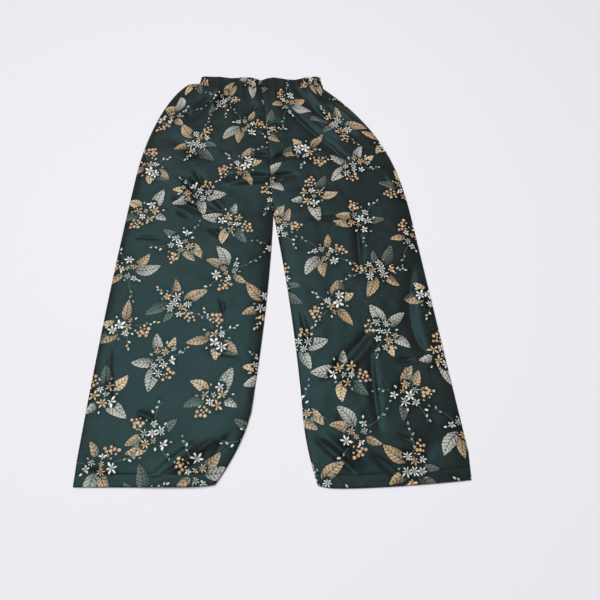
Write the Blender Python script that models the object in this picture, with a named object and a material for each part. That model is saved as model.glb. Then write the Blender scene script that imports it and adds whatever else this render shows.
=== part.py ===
"""Palazzo pants laid flat on their back, front up.

+X runs across the garment, +Y from hem to waist and +Z up, with the origin on the floor under
the middle of the garment. Each panel is a thin wall on a grid: one grid direction runs across the
panel from its outer edge to its seam edge, the other along it from the waist casing to the hem.
The back panels lie on the floor. The front panels lie on them and stand off by a height that is
worked out from soft folds and gathers. Sizes are in millimetres until the meshes are made.
"""

from collections import namedtuple

import bpy
import numpy as np

METRES = 0.001

# Cloth and seams
WALL = 1.2
CASING_WALL = 2.0
GAP = 0.3
CASING_TUCK = 0.6
STEEPEST = 0.6

# How the front meets its edges: the width of their roll, the least height it stands off there,
# and how far up from the hem and the crotch it takes to rise
EDGE_ROLL = 13.0
LEAST_LIFT = 0.5
HEM_RISE = 30.0
CROTCH_RISE = 40.0

# Turned-up hem and centre-front seam
HEM_Y = -486.0
HEM_DEPTH = 20.0
HEM_RAISE = 0.5
STITCH_DIP = 0.9
STITCH_HALF_WIDTH = 3.5
SEAM_DIP = 1.6
SEAM_HALF_WIDTH = 5.0
CROTCH_Y = 90.0

# Cells of each grid, and how evenly its columns are spaced
FRONT_ACROSS = 20
BACK_ACROSS = 8
CASING_ACROSS = 56
CASING_ALONG = 3
CORNER_ACROSS = 5
CORNER_ALONG = 8
EVENNESS = 0.45

# The outline of the flat garment. Each edge is a chain of runs, straight lines that bow a little to
# the right: the outer edges, and the centre seam with the inner leg edges below the crotch.
Run = namedtuple("Run", "from_x from_y to_x to_y bow")
CENTRE_SEAM = Run(-45, 476, -8, CROTCH_Y, 3)
EDGES = {
    "left_outer": (Run(-290, 476, -356, -440, -9),),
    "right_outer": (Run(240, 476, 358, -425, 0),),
    "left_seam": (CENTRE_SEAM, Run(-8, CROTCH_Y, -42, -350, 6), Run(-42, -350, -104, HEM_Y, 8)),
    "right_seam": (CENTRE_SEAM, Run(-8, CROTCH_Y, 54, -340, 6), Run(54, -340, 82, HEM_Y, -5)),
}

# The hips round off towards the waist: where that ends, how tall it is, and how far the edge is
# taken in. A power of 2 and a roundness of 2 make it a quarter of an ellipse.
Shoulder = namedtuple("Shoulder", "top height inwards power roundness")
SHOULDERS = {
    "left": Shoulder(476, 290, 97, 2.0, 2.0),
    "right": Shoulder(452, 390, -137, 2.8, 1.0),
}

# How far the front stands off the back, away from edges and folds, along the garment.
Loft = namedtuple("Loft", "along height")
LOFTS = (
    Loft(476, 3.2),
    Loft(310, 8.4),
    Loft(90, 6.8),
    Loft(-265, 5.2),
    Loft(-492, 1.8),
)

# The hems: their level above HEM_Y, and how far they rise towards their outer and inner ends.
HemEdge = namedtuple("HemEdge", "level outer_rise outer_power inner_rise inner_power")
HEM_EDGES = {
    "left": HemEdge(-2.0, 0.0, 1.0, 5.0, 12.0),
    "right": HemEdge(-5.0, 16.0, 1.8, 6.0, 16.0),
}

# The waist casing: its edges sag towards the middle, and the top one dips where the cloth slumps.
CASING_CENTRE_X = -46.0
CASING_HALF_WIDTH = 148.0
CASING_BOTTOM = 451.0
CASING_BOTTOM_SAG = 14.0
CASING_TOP = 484.0
CASING_TOP_SAG = 6.0
Dip = namedtuple("Dip", "across depth half_width")
CASING_DIPS = (
    Dip(-115, 3, 18),
    Dip(-45, 8, 15),
    Dip(32, 9, 30),
)
CASING_LEFT_TOP = -190.0
CASING_LEFT_BOTTOM = -194.0
CASING_RIGHT_TOP = 99.0
CASING_RIGHT_BOTTOM = 102.0

# Gathers of the elastic: where each crosses the casing, how far it leans to the right over its
# length below the casing, half its width and its height. They widen by GATHER_FAN. Inside the
# casing the elastic holds them down by ELASTIC_HOLD over its first ELASTIC_RISE.
GATHER_FAN = 0.7
ELASTIC_HOLD = 0.65
ELASTIC_RISE = 10.0
Gather = namedtuple("Gather", "across lean length half_width height")
GATHERS = (
    Gather(-180, -42, 62, 8, 4.2),
    Gather(-163, -26, 44, 7, 2.6),
    Gather(-146, -22, 78, 8, 4.6),
    Gather(-126, -12, 40, 8, 2.4),
    Gather(-110, -4, 92, 7, 4.4),
    Gather(-90, -1, 58, 8, 3.0),
    Gather(-72, 4, 46, 7, 2.4),
    Gather(-56, 4, 70, 7, 3.6),
    Gather(-34, 6, 52, 7, 3.0),
    Gather(-14, 12, 74, 8, 3.8),
    Gather(6, 14, 42, 8, 2.4),
    Gather(26, 24, 66, 8, 3.4),
    Gather(46, 26, 44, 7, 2.6),
    Gather(64, 44, 84, 8, 4.4),
    Gather(82, 44, 60, 7, 3.4),
)

# The largest folds of the front. Each runs between two places and bows to its left by bow. A
# ridge has a height above zero, and a trough one below zero. FOLD_END is the share of its height
# that a fold has at its ends.
FOLD_END = 0.35
Fold = namedtuple("Fold", "from_x from_y to_x to_y bow half_width height")
RIGHT_HIP_FOLDS = (
    Fold(14, 394, 122, 266, -6, 11, -5.5),
    Fold(52, 384, 142, 300, -4, 9, 6.5),
    Fold(78, 392, 176, 300, -5, 13, -5.5),
    Fold(112, 402, 190, 334, 4, 9, 4.0),
    Fold(40, 352, 96, 290, -3, 10, 3.5),
    Fold(119, 274, 166, 220, -4, 10, -3.0),
)
LEFT_HIP_FOLDS = (
    Fold(-152, 428, -214, 352, 8, 12, -4.5),
    Fold(-138, 440, -164, 384, 4, 8, 5.0),
    Fold(-108, 432, -150, 384, 6, 11, -4.5),
    Fold(-236, 290, -190, 254, 3, 12, -2.2),
    Fold(-196, 241, -156, 240, 4, 9, -2.6),
)
CROTCH_FOLDS = (
    Fold(-112, 184, -14, 189, 4, 8, -4.5),
    Fold(-108, 166, -15, 172, 4, 8, 4.0),
    Fold(-62, 249, -18, 245, 2, 8, -3.0),
    Fold(-16, 228, 62, 252, 12, 8, -4.5),
    Fold(-8, 212, 66, 226, 8, 10, 3.5),
    Fold(-14, 178, 36, 190, 2, 9, -4.5),
)
LEFT_LEG_FOLDS = (
    Fold(-182, 194, -146, 142, -3, 8, -3.0),
    Fold(-206, 182, -122, 94, -9, 9, -6.0),
    Fold(-190, 192, -124, 112, -8, 8, 4.0),
    Fold(-226, 134, -142, 92, -12, 8, -3.2),
    Fold(-142, 50, -106, 28, 2, 9, -2.4),
    Fold(-322, -226, -309, -330, -4, 11, -1.8),
    Fold(-256, -352, -220, -368, 2, 9, -1.8),
    Fold(-142, -408, -214, -468, 2, 8, -3.2),
    Fold(-108, -402, -182, -462, 2, 9, 3.2),
    Fold(-80, -396, -110, -440, 0, 8, -2.6),
    Fold(-332, -461, -298, -472, 2, 8, -2.0),
)
RIGHT_LEG_FOLDS = (
    Fold(74, 77, 216, 76, 2, 9, -1.6),
    Fold(172, 84, 176, -52, 0, 9, -3.4),
    Fold(284, -50, 294, -236, -18, 13, -4.0),
    Fold(183, -192, 100, -283, 3, 9, -5.0),
    Fold(200, -198, 122, -286, 3, 9, 3.0),
    Fold(188, -234, 197, -382, -2, 9, -3.0),
    Fold(50, -140, 69, -228, 2, 8, -2.2),
    Fold(264, -270, 234, -309, 2, 9, -2.2),
    Fold(82, -404, 148, -460, 2, 8, -3.0),
    Fold(98, -396, 158, -452, 2, 8, 3.2),
    Fold(186, -434, 230, -472, 1, 8, -2.4),
    Fold(262, -446, 312, -398, 2, 16, -2.6),
)
FOLDS = RIGHT_HIP_FOLDS + LEFT_HIP_FOLDS + CROTCH_FOLDS + LEFT_LEG_FOLDS + RIGHT_LEG_FOLDS

# The inner corner of the left hem is folded under the leg. The fold line is the leg's inner edge
# from CORNER_TOP down, and the corner points to CORNER_TIP under the leg.
CORNER_TOP = (-47.0, -366.0)
CORNER_TIP = (-134.0, -448.0)
CORNER_THICKNESS = 2.6
CORNER_START = 0.14
CORNER_GROOVE = 0.9
CORNER_CLEAR = 16.0
CORNER_FRONT_CLEAR = 24.0
CORNER_RAMP = 34.0

# Rows of the panels below the casing: where each stretch of rows starts and their spacing.
Stretch = namedtuple("Stretch", "start spacing")
FRONT_ROWS = (
    Stretch(CASING_BOTTOM - GAP, 11.0),
    Stretch(265.0, 12.5),
    Stretch(90.0, 23.0),
    Stretch(-350.0, 16.0),
    Stretch(-446.0, 6.7),
)
BACK_ROWS = (
    Stretch(CASING_BOTTOM - GAP, 30.0),
    Stretch(90.0, 44.0),
    Stretch(-340.0, 16.0),
)
TOP_STEPS = 6
TOP_BLEND = 190.0
HEM_BLEND = 220.0

CLOTH_TEAL = (0.032, 0.052, 0.052, 1.0)
CASING_TEAL = (0.028, 0.046, 0.046, 1.0)
UNDERSIDE_TEAL = (0.026, 0.042, 0.043, 1.0)
SATIN_ROUGHNESS = 0.42


def column(table, name):
    """One named column of a table."""
    return np.array([getattr(row, name) for row in table], dtype=float)


def smooth(stations, values, at):
    """Reads a smooth curve through the stations. It never overshoots them."""
    order = np.argsort(stations)
    x = stations[order]
    y = values[order]
    step = np.diff(x)
    rise = np.diff(y) / step
    same_way = rise[1:] * rise[:-1] > 0
    mean = 2 * rise[1:] * rise[:-1] / np.where(same_way, rise[1:] + rise[:-1], 1.0)
    slope = np.concatenate([rise[:1], np.where(same_way, mean, 0.0), rise[-1:]])
    at = np.clip(at, x[0], x[-1])
    i = np.clip(np.searchsorted(x, at) - 1, 0, len(step) - 1)
    t = (at - x[i]) / step[i]
    ends = (1 + 2 * t) * (1 - t) ** 2 * y[i] + t * t * (3 - 2 * t) * y[i + 1]
    bend = t * (1 - t) ** 2 * slope[i] - t * t * (1 - t) * slope[i + 1]
    return ends + bend * step[i]


def ease(t):
    """0 below 0 and 1 above 1, with a smooth step between."""
    t = np.clip(t, 0.0, 1.0)
    return t * t * (3 - 2 * t)


def edge_line(name, y):
    """The runs of an edge, one after another: each is a straight line that bows by
    4 * bow * t * (1 - t)."""
    x = EDGES[name][0].from_x
    for run in EDGES[name]:
        t = np.clip((run.from_y - y) / (run.from_y - run.to_y), 0.0, 1.0)
        x = x + (run.to_x - run.from_x) * t + 4 * run.bow * t * (1 - t)
    return x


def outer_edge(side, y):
    """An outer edge, taken in above the hip by inwards * (1 - (1 - t^power)^(1 / roundness))."""
    shoulder = SHOULDERS[side]
    t = np.clip((y - shoulder.top + shoulder.height) / shoulder.height, 0.0, 1.0)
    taken_in = 1 - (1 - t**shoulder.power) ** (1 / shoulder.roundness)
    return edge_line(f"{side}_outer", y) + shoulder.inwards * taken_in


def seam_edge(side, y):
    """The centre seam above the crotch and the inner leg edge below it."""
    return edge_line(f"{side}_seam", y)


def hem_rise(side, share):
    """How far a hem lies above HEM_Y. share is the way from its outer to its inner edge."""
    hem = HEM_EDGES[side]
    outer = hem.outer_rise * (1 - share) ** hem.outer_power
    return hem.level + outer + hem.inner_rise * share**hem.inner_power


def casing_edge(name, x):
    """The casing's top or bottom edge: both sag towards the middle, and the top edge has dips."""
    share = np.clip((x - CASING_CENTRE_X) / CASING_HALF_WIDTH, -1.0, 1.0)
    if name == "bottom":
        return CASING_BOTTOM + CASING_BOTTOM_SAG * share**2
    dips = sum(dip.depth * np.exp(-(((x - dip.across) / dip.half_width) ** 2)) for dip in CASING_DIPS)
    return CASING_TOP + CASING_TOP_SAG * share**2 - dips


def loft(y):
    return smooth(column(LOFTS, "along"), column(LOFTS, "height"), y)


def fold_height(x, y, fold):
    """A bell across a bowed line, highest at its middle and fading past its ends."""
    ahead = np.array([fold.to_x - fold.from_x, fold.to_y - fold.from_y])
    length = np.hypot(*ahead)
    ahead = ahead / length
    along = ((x - fold.from_x) * ahead[0] + (y - fold.from_y) * ahead[1]) / length
    inside = np.clip(along, 0.0, 1.0)
    aside = (y - fold.from_y) * ahead[0] - (x - fold.from_x) * ahead[1]
    aside = aside - 4 * fold.bow * inside * (1 - inside)
    past_end = (along - inside) * length
    fade = FOLD_END + (1 - FOLD_END) * np.sin(np.pi * inside)
    return fold.height * fade * np.exp(-(aside**2 + past_end**2) / fold.half_width**2)


def gather_height(x, y):
    """Ridges that lean outwards below the casing, widen and die away, and are held down in it."""
    below = np.maximum(casing_edge("bottom", x) - y, 0.0)
    total = np.zeros_like(x)
    for gather in GATHERS:
        share = below / gather.length
        line = gather.across + gather.lean * share
        width = gather.half_width * (1 + GATHER_FAN * share)
        total += gather.height * np.exp(-(((x - line) / width) ** 2) - share**2)
    held = ease((y - casing_edge("bottom", x)) / ELASTIC_RISE)
    return total * (1 - ELASTIC_HOLD * held)


def leg_edge_distance(side, x, y):
    """How far a point is from the inner leg edge or, above the crotch, from the crotch."""
    aside = np.abs(x - seam_edge(side, y))
    above = np.maximum(y - CROTCH_Y, 0.0)
    return np.hypot(aside, above)


def corner_lift(x, y, clear):
    """How far the corner that is folded under raises the cloth over it."""
    ahead = np.subtract(CORNER_TIP, CORNER_TOP)
    ahead = ahead / np.hypot(*ahead)
    along = (x - CORNER_TOP[0]) * ahead[0] + (y - CORNER_TOP[1]) * ahead[1]
    aside = (x - CORNER_TOP[0]) * ahead[1] - (y - CORNER_TOP[1]) * ahead[0]
    over = ease(1 - (aside - clear) / CORNER_RAMP)
    below_top = ease(1 + (along + clear) / CORNER_RAMP)
    return (CORNER_THICKNESS + GAP) * over * below_top


def front_lift(x, y, edge, hem):
    """How far the front's underside stands off the back. edge and hem are the distances to them."""
    relief = loft(y) + gather_height(x, y)
    for fold in FOLDS:
        relief = relief + fold_height(x, y, fold)
    relief = relief * (1 - np.exp(-edge / EDGE_ROLL))
    relief = relief * (0.5 + 0.5 * ease(hem / HEM_RISE))
    seam = np.exp(-(((x - seam_edge("left", y)) / SEAM_HALF_WIDTH) ** 2))
    relief = relief - SEAM_DIP * seam * ease((y - CROTCH_Y) / CROTCH_RISE)
    relief = relief - STITCH_DIP * np.exp(-(((hem - HEM_DEPTH) / STITCH_HALF_WIDTH) ** 2))
    return 0.5 * (relief + np.sqrt(relief**2 + 4 * LEAST_LIFT**2))


def row_stations(stretches):
    """The place of every row along the seam edge, from the casing down to the hem."""
    starts = [stretch.start for stretch in stretches]
    rows = []
    for stretch, end in zip(stretches, starts[1:] + [HEM_Y]):
        count = round((stretch.start - end) / stretch.spacing)
        rows.extend(np.linspace(stretch.start, end, count, endpoint=False))
    return np.array(rows + [HEM_Y])


def shares(cells):
    """Shares of a width from 0 to 1, closer together near both ends."""
    even = np.linspace(0.0, 1.0, cells + 1)
    crowded = 0.5 - 0.5 * np.cos(np.pi * even)
    return EVENNESS * even + (1 - EVENNESS) * crowded


def top_row(side, share):
    """The panel's top edge, just under the casing, found by stepping towards it."""
    y = np.full_like(share, CASING_BOTTOM + CASING_BOTTOM_SAG)
    for _ in range(TOP_STEPS):
        x = (1 - share) * outer_edge(side, y) + share * seam_edge(side, y)
        y = casing_edge("bottom", x) - GAP
    return y


def panel_grid(side, stretches, cells):
    """X, Y, and the distances to the nearest edge and to the hem, as rows by columns."""
    share = shares(cells)[None, :]
    station = row_stations(stretches)[:, None]
    top = top_row(side, share)
    hem = hem_rise(side, share)
    near_top = ease(1 - (top[:, -1:] - station) / TOP_BLEND)
    near_hem = ease(1 - (station - HEM_Y) / HEM_BLEND)
    y = station + (top - top[:, -1:]) * near_top + hem * near_hem
    outer = outer_edge(side, y)
    seam = seam_edge(side, y) + np.sign(outer) * 0.5 * GAP
    x = (1 - share) * outer + share * seam
    edge = np.minimum(np.abs(x - outer), leg_edge_distance(side, x, y))
    return x, y, edge, y - HEM_Y - hem


def upright_wall(x, y, z, wall):
    """The height of a wall over its underside, greater where it slopes, so that it stays even."""
    points = np.stack([x, y, z], axis=-1)
    normal = np.cross(np.gradient(points, axis=0), np.gradient(points, axis=1))
    normal /= np.linalg.norm(normal, axis=-1, keepdims=True)
    return wall / np.maximum(np.abs(normal[..., 2]), STEEPEST)


def rim(rows, columns):
    """The grid's border, once round, as row and column numbers."""
    down = [(i, 0) for i in range(rows - 1)]
    across = [(rows - 1, j) for j in range(columns - 1)]
    up = [(i, columns - 1) for i in range(rows - 1, 0, -1)]
    back = [(0, j) for j in range(columns - 1, 0, -1)]
    return np.array(down + across + up + back)


def quads(rings, closed):
    """Faces between neighbours of a grid of point numbers. closed joins its last column to its
    first."""
    right = np.roll(rings, -1, axis=1)
    if not closed:
        rings, right = rings[:, :-1], right[:, :-1]
    return np.stack([rings[:-1], rings[1:], right[1:], right[:-1]], axis=-1).reshape(-1, 4)


def solid_between(under, over, middle=None):
    """Points and faces of the closed solid between two grids of points. middle is a ring of
    points that its side passes through."""
    rows, columns = under.shape[:2]
    number = np.arange(rows * columns).reshape(rows, columns)
    border = rim(rows, columns)
    around = number[border[:, 0], border[:, 1]]
    points = [under.reshape(-1, 3), over.reshape(-1, 3)]
    sides = [around, around + number.size]
    if middle is not None:
        points.append(middle)
        sides.insert(1, 2 * number.size + np.arange(len(middle)))
    lower = quads(number, closed=False)
    upper = quads(number, closed=False)[:, ::-1] + number.size
    return np.concatenate(points), np.concatenate([lower, upper, quads(np.stack(sides), True)])


def satin(name, colour):
    material = bpy.data.materials.new(name)
    material.use_nodes = True
    shader = material.node_tree.nodes["Principled BSDF"]
    shader.inputs["Base Color"].default_value = colour
    shader.inputs["Roughness"].default_value = SATIN_ROUGHNESS
    shader.inputs["Metallic"].default_value = 0.0
    material.diffuse_color = colour
    return material


def add_piece(name, points, faces, colour, garment):
    """Makes a named object from points in millimetres, with its faces turned outwards."""
    a, b, c, d = (points[faces[:, k]] for k in range(4))
    six_volumes = np.einsum("ij,ij->i", a, np.cross(b, c)) + np.einsum("ij,ij->i", a, np.cross(c, d))
    if six_volumes.sum() < 0:
        faces = faces[:, ::-1]
    mesh = bpy.data.meshes.new(name)
    mesh.from_pydata((points * METRES).tolist(), [], faces.tolist())
    mesh.validate()
    mesh.shade_smooth()
    mesh.set_sharp_from_angle(angle=np.radians(50.0))
    mesh.materials.append(satin(name + "_satin", colour))
    piece = bpy.data.objects.new(name, mesh)
    bpy.context.scene.collection.objects.link(piece)
    piece.parent = garment
    return piece


def add_back(side, garment):
    """A back panel: flat on the floor but for where the folded corner raises it."""
    x, y, _, _ = panel_grid(side, BACK_ROWS, BACK_ACROSS)
    z = corner_lift(x, y, CORNER_CLEAR) if side == "left" else np.zeros_like(x)
    under = np.stack([x, y, z], axis=-1)
    over = np.stack([x, y, z + WALL], axis=-1)
    add_piece(f"back_{side}", *solid_between(under, over), UNDERSIDE_TEAL, garment)


def add_front(side, garment):
    """A front panel: it lies on the back one and stands off it by its folds."""
    x, y, edge, hem = panel_grid(side, FRONT_ROWS, FRONT_ACROSS)
    z = WALL + GAP + front_lift(x, y, edge, hem)
    if side == "left":
        z = z + corner_lift(x, y, CORNER_FRONT_CLEAR)
    hem_turn = HEM_RAISE * ease((HEM_DEPTH - hem) / STITCH_HALF_WIDTH)
    under = np.stack([x, y, z], axis=-1)
    over = np.stack([x, y, z + upright_wall(x, y, z, WALL) + hem_turn], axis=-1)
    add_piece(f"front_{side}", *solid_between(under, over), CLOTH_TEAL, garment)


def add_casing(garment):
    """The elastic casing: a flattened ring, its front wall gathered and its back wall flat."""
    share = shares(CASING_ACROSS)[None, :]
    up = np.linspace(0.0, 1.0, CASING_ALONG + 1)[:, None]
    left = CASING_LEFT_BOTTOM + (CASING_LEFT_TOP - CASING_LEFT_BOTTOM) * up
    right = CASING_RIGHT_BOTTOM + (CASING_RIGHT_TOP - CASING_RIGHT_BOTTOM) * up
    middle = CASING_WALL + 0.5 * GAP

    def ring(inset, front, back):
        """A loop round the ring at each height, from its left end over the front and back
        under it. Both ends are rounded."""
        x = left + inset + (right - left - 2 * inset) * share
        y = casing_edge("bottom", x)
        y = y + up * (casing_edge("top", x) - y)
        end = np.minimum(x - left, right - x) - inset
        round_end = np.sqrt(1 - (1 - np.clip(end / middle, 0.0, 1.0)) ** 2)
        lift = front_lift(x, y, end, y - HEM_Y) - CASING_TUCK
        over = middle + (front + lift - middle) * round_end
        under = middle + (back - middle) * round_end
        loop_x = np.concatenate([x, x[:, -2:0:-1]], axis=1)
        loop_y = np.concatenate([y, y[:, -2:0:-1]], axis=1)
        loop_z = np.concatenate([over, under[:, -2:0:-1]], axis=1)
        return np.stack([loop_x, loop_y, loop_z], axis=-1)

    outside = ring(0.0, 2 * CASING_WALL + GAP, 0.0)
    inside = ring(CASING_WALL, CASING_WALL + GAP, CASING_WALL)
    rows, around = outside.shape[:2]
    number = np.arange(rows * around).reshape(rows, around)
    inner = number + number.size
    loops = np.concatenate([number, inner[::-1], number[:1]])
    points = np.concatenate([outside.reshape(-1, 3), inside.reshape(-1, 3)])
    add_piece("waistband", points, quads(loops, closed=True), CASING_TEAL, garment)


def add_folded_corner(garment):
    """The corner folded under the left leg: two layers as one solid, parted at its edges."""
    along = np.linspace(CORNER_START, 1.0, CORNER_ALONG + 1)[:, None]
    across = np.linspace(0.0, 1.0, CORNER_ACROSS + 1)[None, :]
    hem_end = HEM_Y + hem_rise("left", 1.0)
    fold_y = CORNER_TOP[1] + along * (hem_end - CORNER_TOP[1])
    fold_x = seam_edge("left", fold_y) - 0.5 * GAP
    inner_x = CORNER_TOP[0] + along * (CORNER_TIP[0] - CORNER_TOP[0])
    inner_y = CORNER_TOP[1] + along * (CORNER_TIP[1] - CORNER_TOP[1])
    x = (1 - across) * fold_x + across * inner_x
    y = (1 - across) * fold_y + across * inner_y
    under = np.stack([x, y, np.zeros_like(x)], axis=-1)
    over = np.stack([x, y, np.full_like(x, CORNER_THICKNESS)], axis=-1)
    border = rim(*x.shape)
    middle = 0.5 * (under + over)[border[:, 0], border[:, 1]]
    inwards = middle.mean(axis=0) - middle
    inwards /= np.linalg.norm(inwards, axis=1, keepdims=True)
    middle = middle + CORNER_GROOVE * inwards
    add_piece("left_corner_tuck", *solid_between(under, over, middle), UNDERSIDE_TEAL, garment)


def main():
    for old in list(bpy.data.objects):
        bpy.data.objects.remove(old, do_unlink=True)
    garment = bpy.data.objects.new("palazzo_pants", None)
    bpy.context.scene.collection.objects.link(garment)
    for side in ("left", "right"):
        add_back(side, garment)
        add_front(side, garment)
    add_casing(garment)
    add_folded_corner(garment)


main()
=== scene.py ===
# %% [markdown]
# # Palazzo pants in printed satin, laid flat
#
# The garment lies on its back on a pale floor, waist away from us. Every piece of cloth below is
# a thin closed shell: an outer surface worked out on a fine grid, an inner surface one thickness
# behind it, and a rim that joins the two. The flower print isn't an image. Each small face of the
# cloth knows which leaf, flower or berry it lies on and where, and the material draws that shape.
#
# The first cell loads the imported CAD model, which fixes where everything is.

from collections import namedtuple
from functools import partialmethod

import bpy
import numpy as np
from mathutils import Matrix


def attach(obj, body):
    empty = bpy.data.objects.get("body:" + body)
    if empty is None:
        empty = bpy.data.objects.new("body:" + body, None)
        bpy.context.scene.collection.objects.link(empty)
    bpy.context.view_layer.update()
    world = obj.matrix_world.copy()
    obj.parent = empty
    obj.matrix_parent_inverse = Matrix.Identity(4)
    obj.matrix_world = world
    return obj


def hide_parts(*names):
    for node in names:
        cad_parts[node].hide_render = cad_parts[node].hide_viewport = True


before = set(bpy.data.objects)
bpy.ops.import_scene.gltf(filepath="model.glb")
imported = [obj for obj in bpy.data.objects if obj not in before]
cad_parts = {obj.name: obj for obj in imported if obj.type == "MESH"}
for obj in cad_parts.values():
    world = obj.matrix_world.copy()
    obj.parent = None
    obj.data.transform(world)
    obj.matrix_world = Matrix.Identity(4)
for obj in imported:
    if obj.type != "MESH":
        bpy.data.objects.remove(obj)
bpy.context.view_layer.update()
MM = 0.001
print("solids:", len(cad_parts))

# %% [markdown]
# ## Camera
#
# A garment laid flat shows best from just beyond its hems, looking down and forward. The camera
# stands 1.2 m over the floor and looks 26 degrees away from straight down, so the waist looks
# smaller than the hems.

# %% Camera
CAMERA_PLACE = (0.0499, -0.6964, 1.1915)
CAMERA_TILT = 26.0
CAMERA_LENS = 39.0
SENSOR_WIDTH = 36.0


def add_object(name, data):
    """Puts a camera, a lamp or a mesh into the scene as an object at the origin."""
    thing = bpy.data.objects.new(name, data)
    bpy.context.scene.collection.objects.link(thing)
    return thing


camera_data = bpy.data.cameras.new("overhead_camera")
camera_data.lens = CAMERA_LENS
camera_data.sensor_width = SENSOR_WIDTH
camera = add_object("overhead_camera", camera_data)
camera.location = CAMERA_PLACE
camera.rotation_euler = (np.radians(CAMERA_TILT), 0.0, 0.0)
bpy.context.scene.camera = camera
print("camera", CAMERA_PLACE, "tilt", CAMERA_TILT, "lens", CAMERA_LENS)

# %% [markdown]
# ## Floor and light
#
# The floor is smooth pale card. Dark satin shows its folds by what they mirror: the flat cloth
# mirrors the large soft lights over it, and the slopes of a fold mirror the dim sky, so folds look
# dark. Each light looks at the middle of the garment, which is the origin. The view transform is
# the plain one, so colours come out as they are set.


# %% Floor and light
def srgb(red, green, blue):
    """A linear colour from the usual 0 to 255 numbers: (c + 0.055) / 1.055 to the power 2.4."""
    c = np.array([red, green, blue]) / 255.0
    return np.where(c <= 0.04045, c / 12.92, ((c + 0.055) / 1.055) ** 2.4)


def rgba(colour):
    """A colour with full opacity, as shader inputs take it."""
    return (*[float(c) for c in colour], 1.0)


def new_material(name, settings):
    """A material, its node tree and its Principled shader, whose plain inputs are set."""
    material = bpy.data.materials.new(name)
    material.use_nodes = True
    shader = material.node_tree.nodes["Principled BSDF"]
    for socket_name, value in settings.items():
        shader.inputs[socket_name].default_value = value
    return material, material.node_tree, shader


FLOOR_COLOUR = srgb(240, 239, 244)
FLOOR_ROUGHNESS = 0.8
FLOOR_SHINE = 0.1
FLOOR_HALF = 6.0
FLOOR_DROP = 0.0003
SKY_COLOUR = (0.955, 0.95, 1.0, 1.0)
SKY_STRENGTH = 0.12
SoftLight = namedtuple("SoftLight", "name kind place size power")
SOFT_LIGHTS = (
    SoftLight("roof_window", "SUN", (-0.6, 0.75, 2.0), 40.0, 2.05),
    SoftLight("ceiling_panel", "AREA", (-0.3, 0.1, 2.4), 2.0, 20.0),
)

bpy.context.scene.view_settings.view_transform = "Standard"
world = bpy.data.worlds.new("soft_sky")
world.use_nodes = True
sky = world.node_tree.nodes["Background"]
sky.inputs["Color"].default_value = SKY_COLOUR
sky.inputs["Strength"].default_value = SKY_STRENGTH
bpy.context.scene.world = world

floor_mesh = bpy.data.meshes.new("floor")
quarters = [(-1, -1), (1, -1), (1, 1), (-1, 1)]
floor_corners = [(FLOOR_HALF * a, FLOOR_HALF * b, -FLOOR_DROP) for a, b in quarters]
floor_mesh.from_pydata(floor_corners, [], [(0, 1, 2, 3)])
pale_card = {
    "Base Color": rgba(FLOOR_COLOUR),
    "Roughness": FLOOR_ROUGHNESS,
    "Specular IOR Level": FLOOR_SHINE,
}
floor_mesh.materials.append(new_material("pale_card", pale_card)[0])
floor = add_object("floor", floor_mesh)

for soft in SOFT_LIGHTS:
    lamp = bpy.data.lights.new(soft.name, soft.kind)
    if soft.kind == "SUN":
        lamp.angle = np.radians(soft.size)
    else:
        lamp.shape = "DISK"
        lamp.size = soft.size
    lamp.energy = soft.power
    holder = add_object(soft.name, lamp)
    holder.location = soft.place
    across, along, down = -np.array(soft.place)
    tilt = np.arctan2(np.hypot(across, along), -down)
    holder.rotation_euler = (tilt, 0.0, np.arctan2(-across, along))
print("lights:", [soft.name for soft in SOFT_LIGHTS])

# %% [markdown]
# ## The outline of the flat garment
#
# A pattern cutter draws trousers with a few long lines: two outer edges, the centre seam and two
# inner leg edges, each one or two straight runs that bow a little. The hips round off towards the
# waist along a superellipse, which can be a round shoulder or a slanting one. The solid model is
# made with the same sizes. A table of many widths would do too, but it is harder to read and
# change.

# %% Outline sizes, in millimetres
SIDES = ("left", "right")
HEM_Y = -486.0
CROTCH_Y = 90.0
SEAM_GAP = 0.05
Run = namedtuple("Run", "from_x from_y to_x to_y bow")
CENTRE_SEAM = Run(-45, 476, -8, CROTCH_Y, 3)
EDGES = {
    "left_outer": (Run(-290, 476, -356, -440, -9),),
    "right_outer": (Run(240, 476, 358, -425, 0),),
    "left_seam": (CENTRE_SEAM, Run(-8, CROTCH_Y, -42, -350, 6), Run(-42, -350, -104, HEM_Y, 8)),
    "right_seam": (CENTRE_SEAM, Run(-8, CROTCH_Y, 54, -340, 6), Run(54, -340, 82, HEM_Y, -5)),
}
Shoulder = namedtuple("Shoulder", "top height inwards power roundness")
SHOULDERS = {
    "left": Shoulder(476, 290, 97, 2.0, 2.0),
    "right": Shoulder(452, 390, -137, 2.8, 1.0),
}
Loft = namedtuple("Loft", "along height")
LOFTS = (
    Loft(-492, 1.8),
    Loft(-265, 5.2),
    Loft(90, 6.8),
    Loft(310, 8.4),
    Loft(476, 3.2),
)
HemEdge = namedtuple("HemEdge", "level outer_rise outer_power inner_rise inner_power")
HEM_EDGES = {
    "left": HemEdge(-2.0, 0.0, 1.0, 5.0, 12.0),
    "right": HemEdge(-5.0, 16.0, 1.8, 6.0, 16.0),
}
CASING_CENTRE_X = -46.0
CASING_HALF_WIDTH = 148.0
CASING_BOTTOM = 451.0
CASING_BOTTOM_SAG = 14.0
CASING_TOP = 484.0
CASING_TOP_SAG = 6.0
Dip = namedtuple("Dip", "across depth half_width")
CASING_DIPS = (
    Dip(-115, 3, 18),
    Dip(-45, 8, 15),
    Dip(32, 9, 30),
)
print("waist to hem, mm:", CASING_TOP + CASING_TOP_SAG - HEM_Y)


# %% Outline curves
def column(table, name):
    """One named column of a table."""
    return np.array([getattr(row, name) for row in table], dtype=float)


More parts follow.
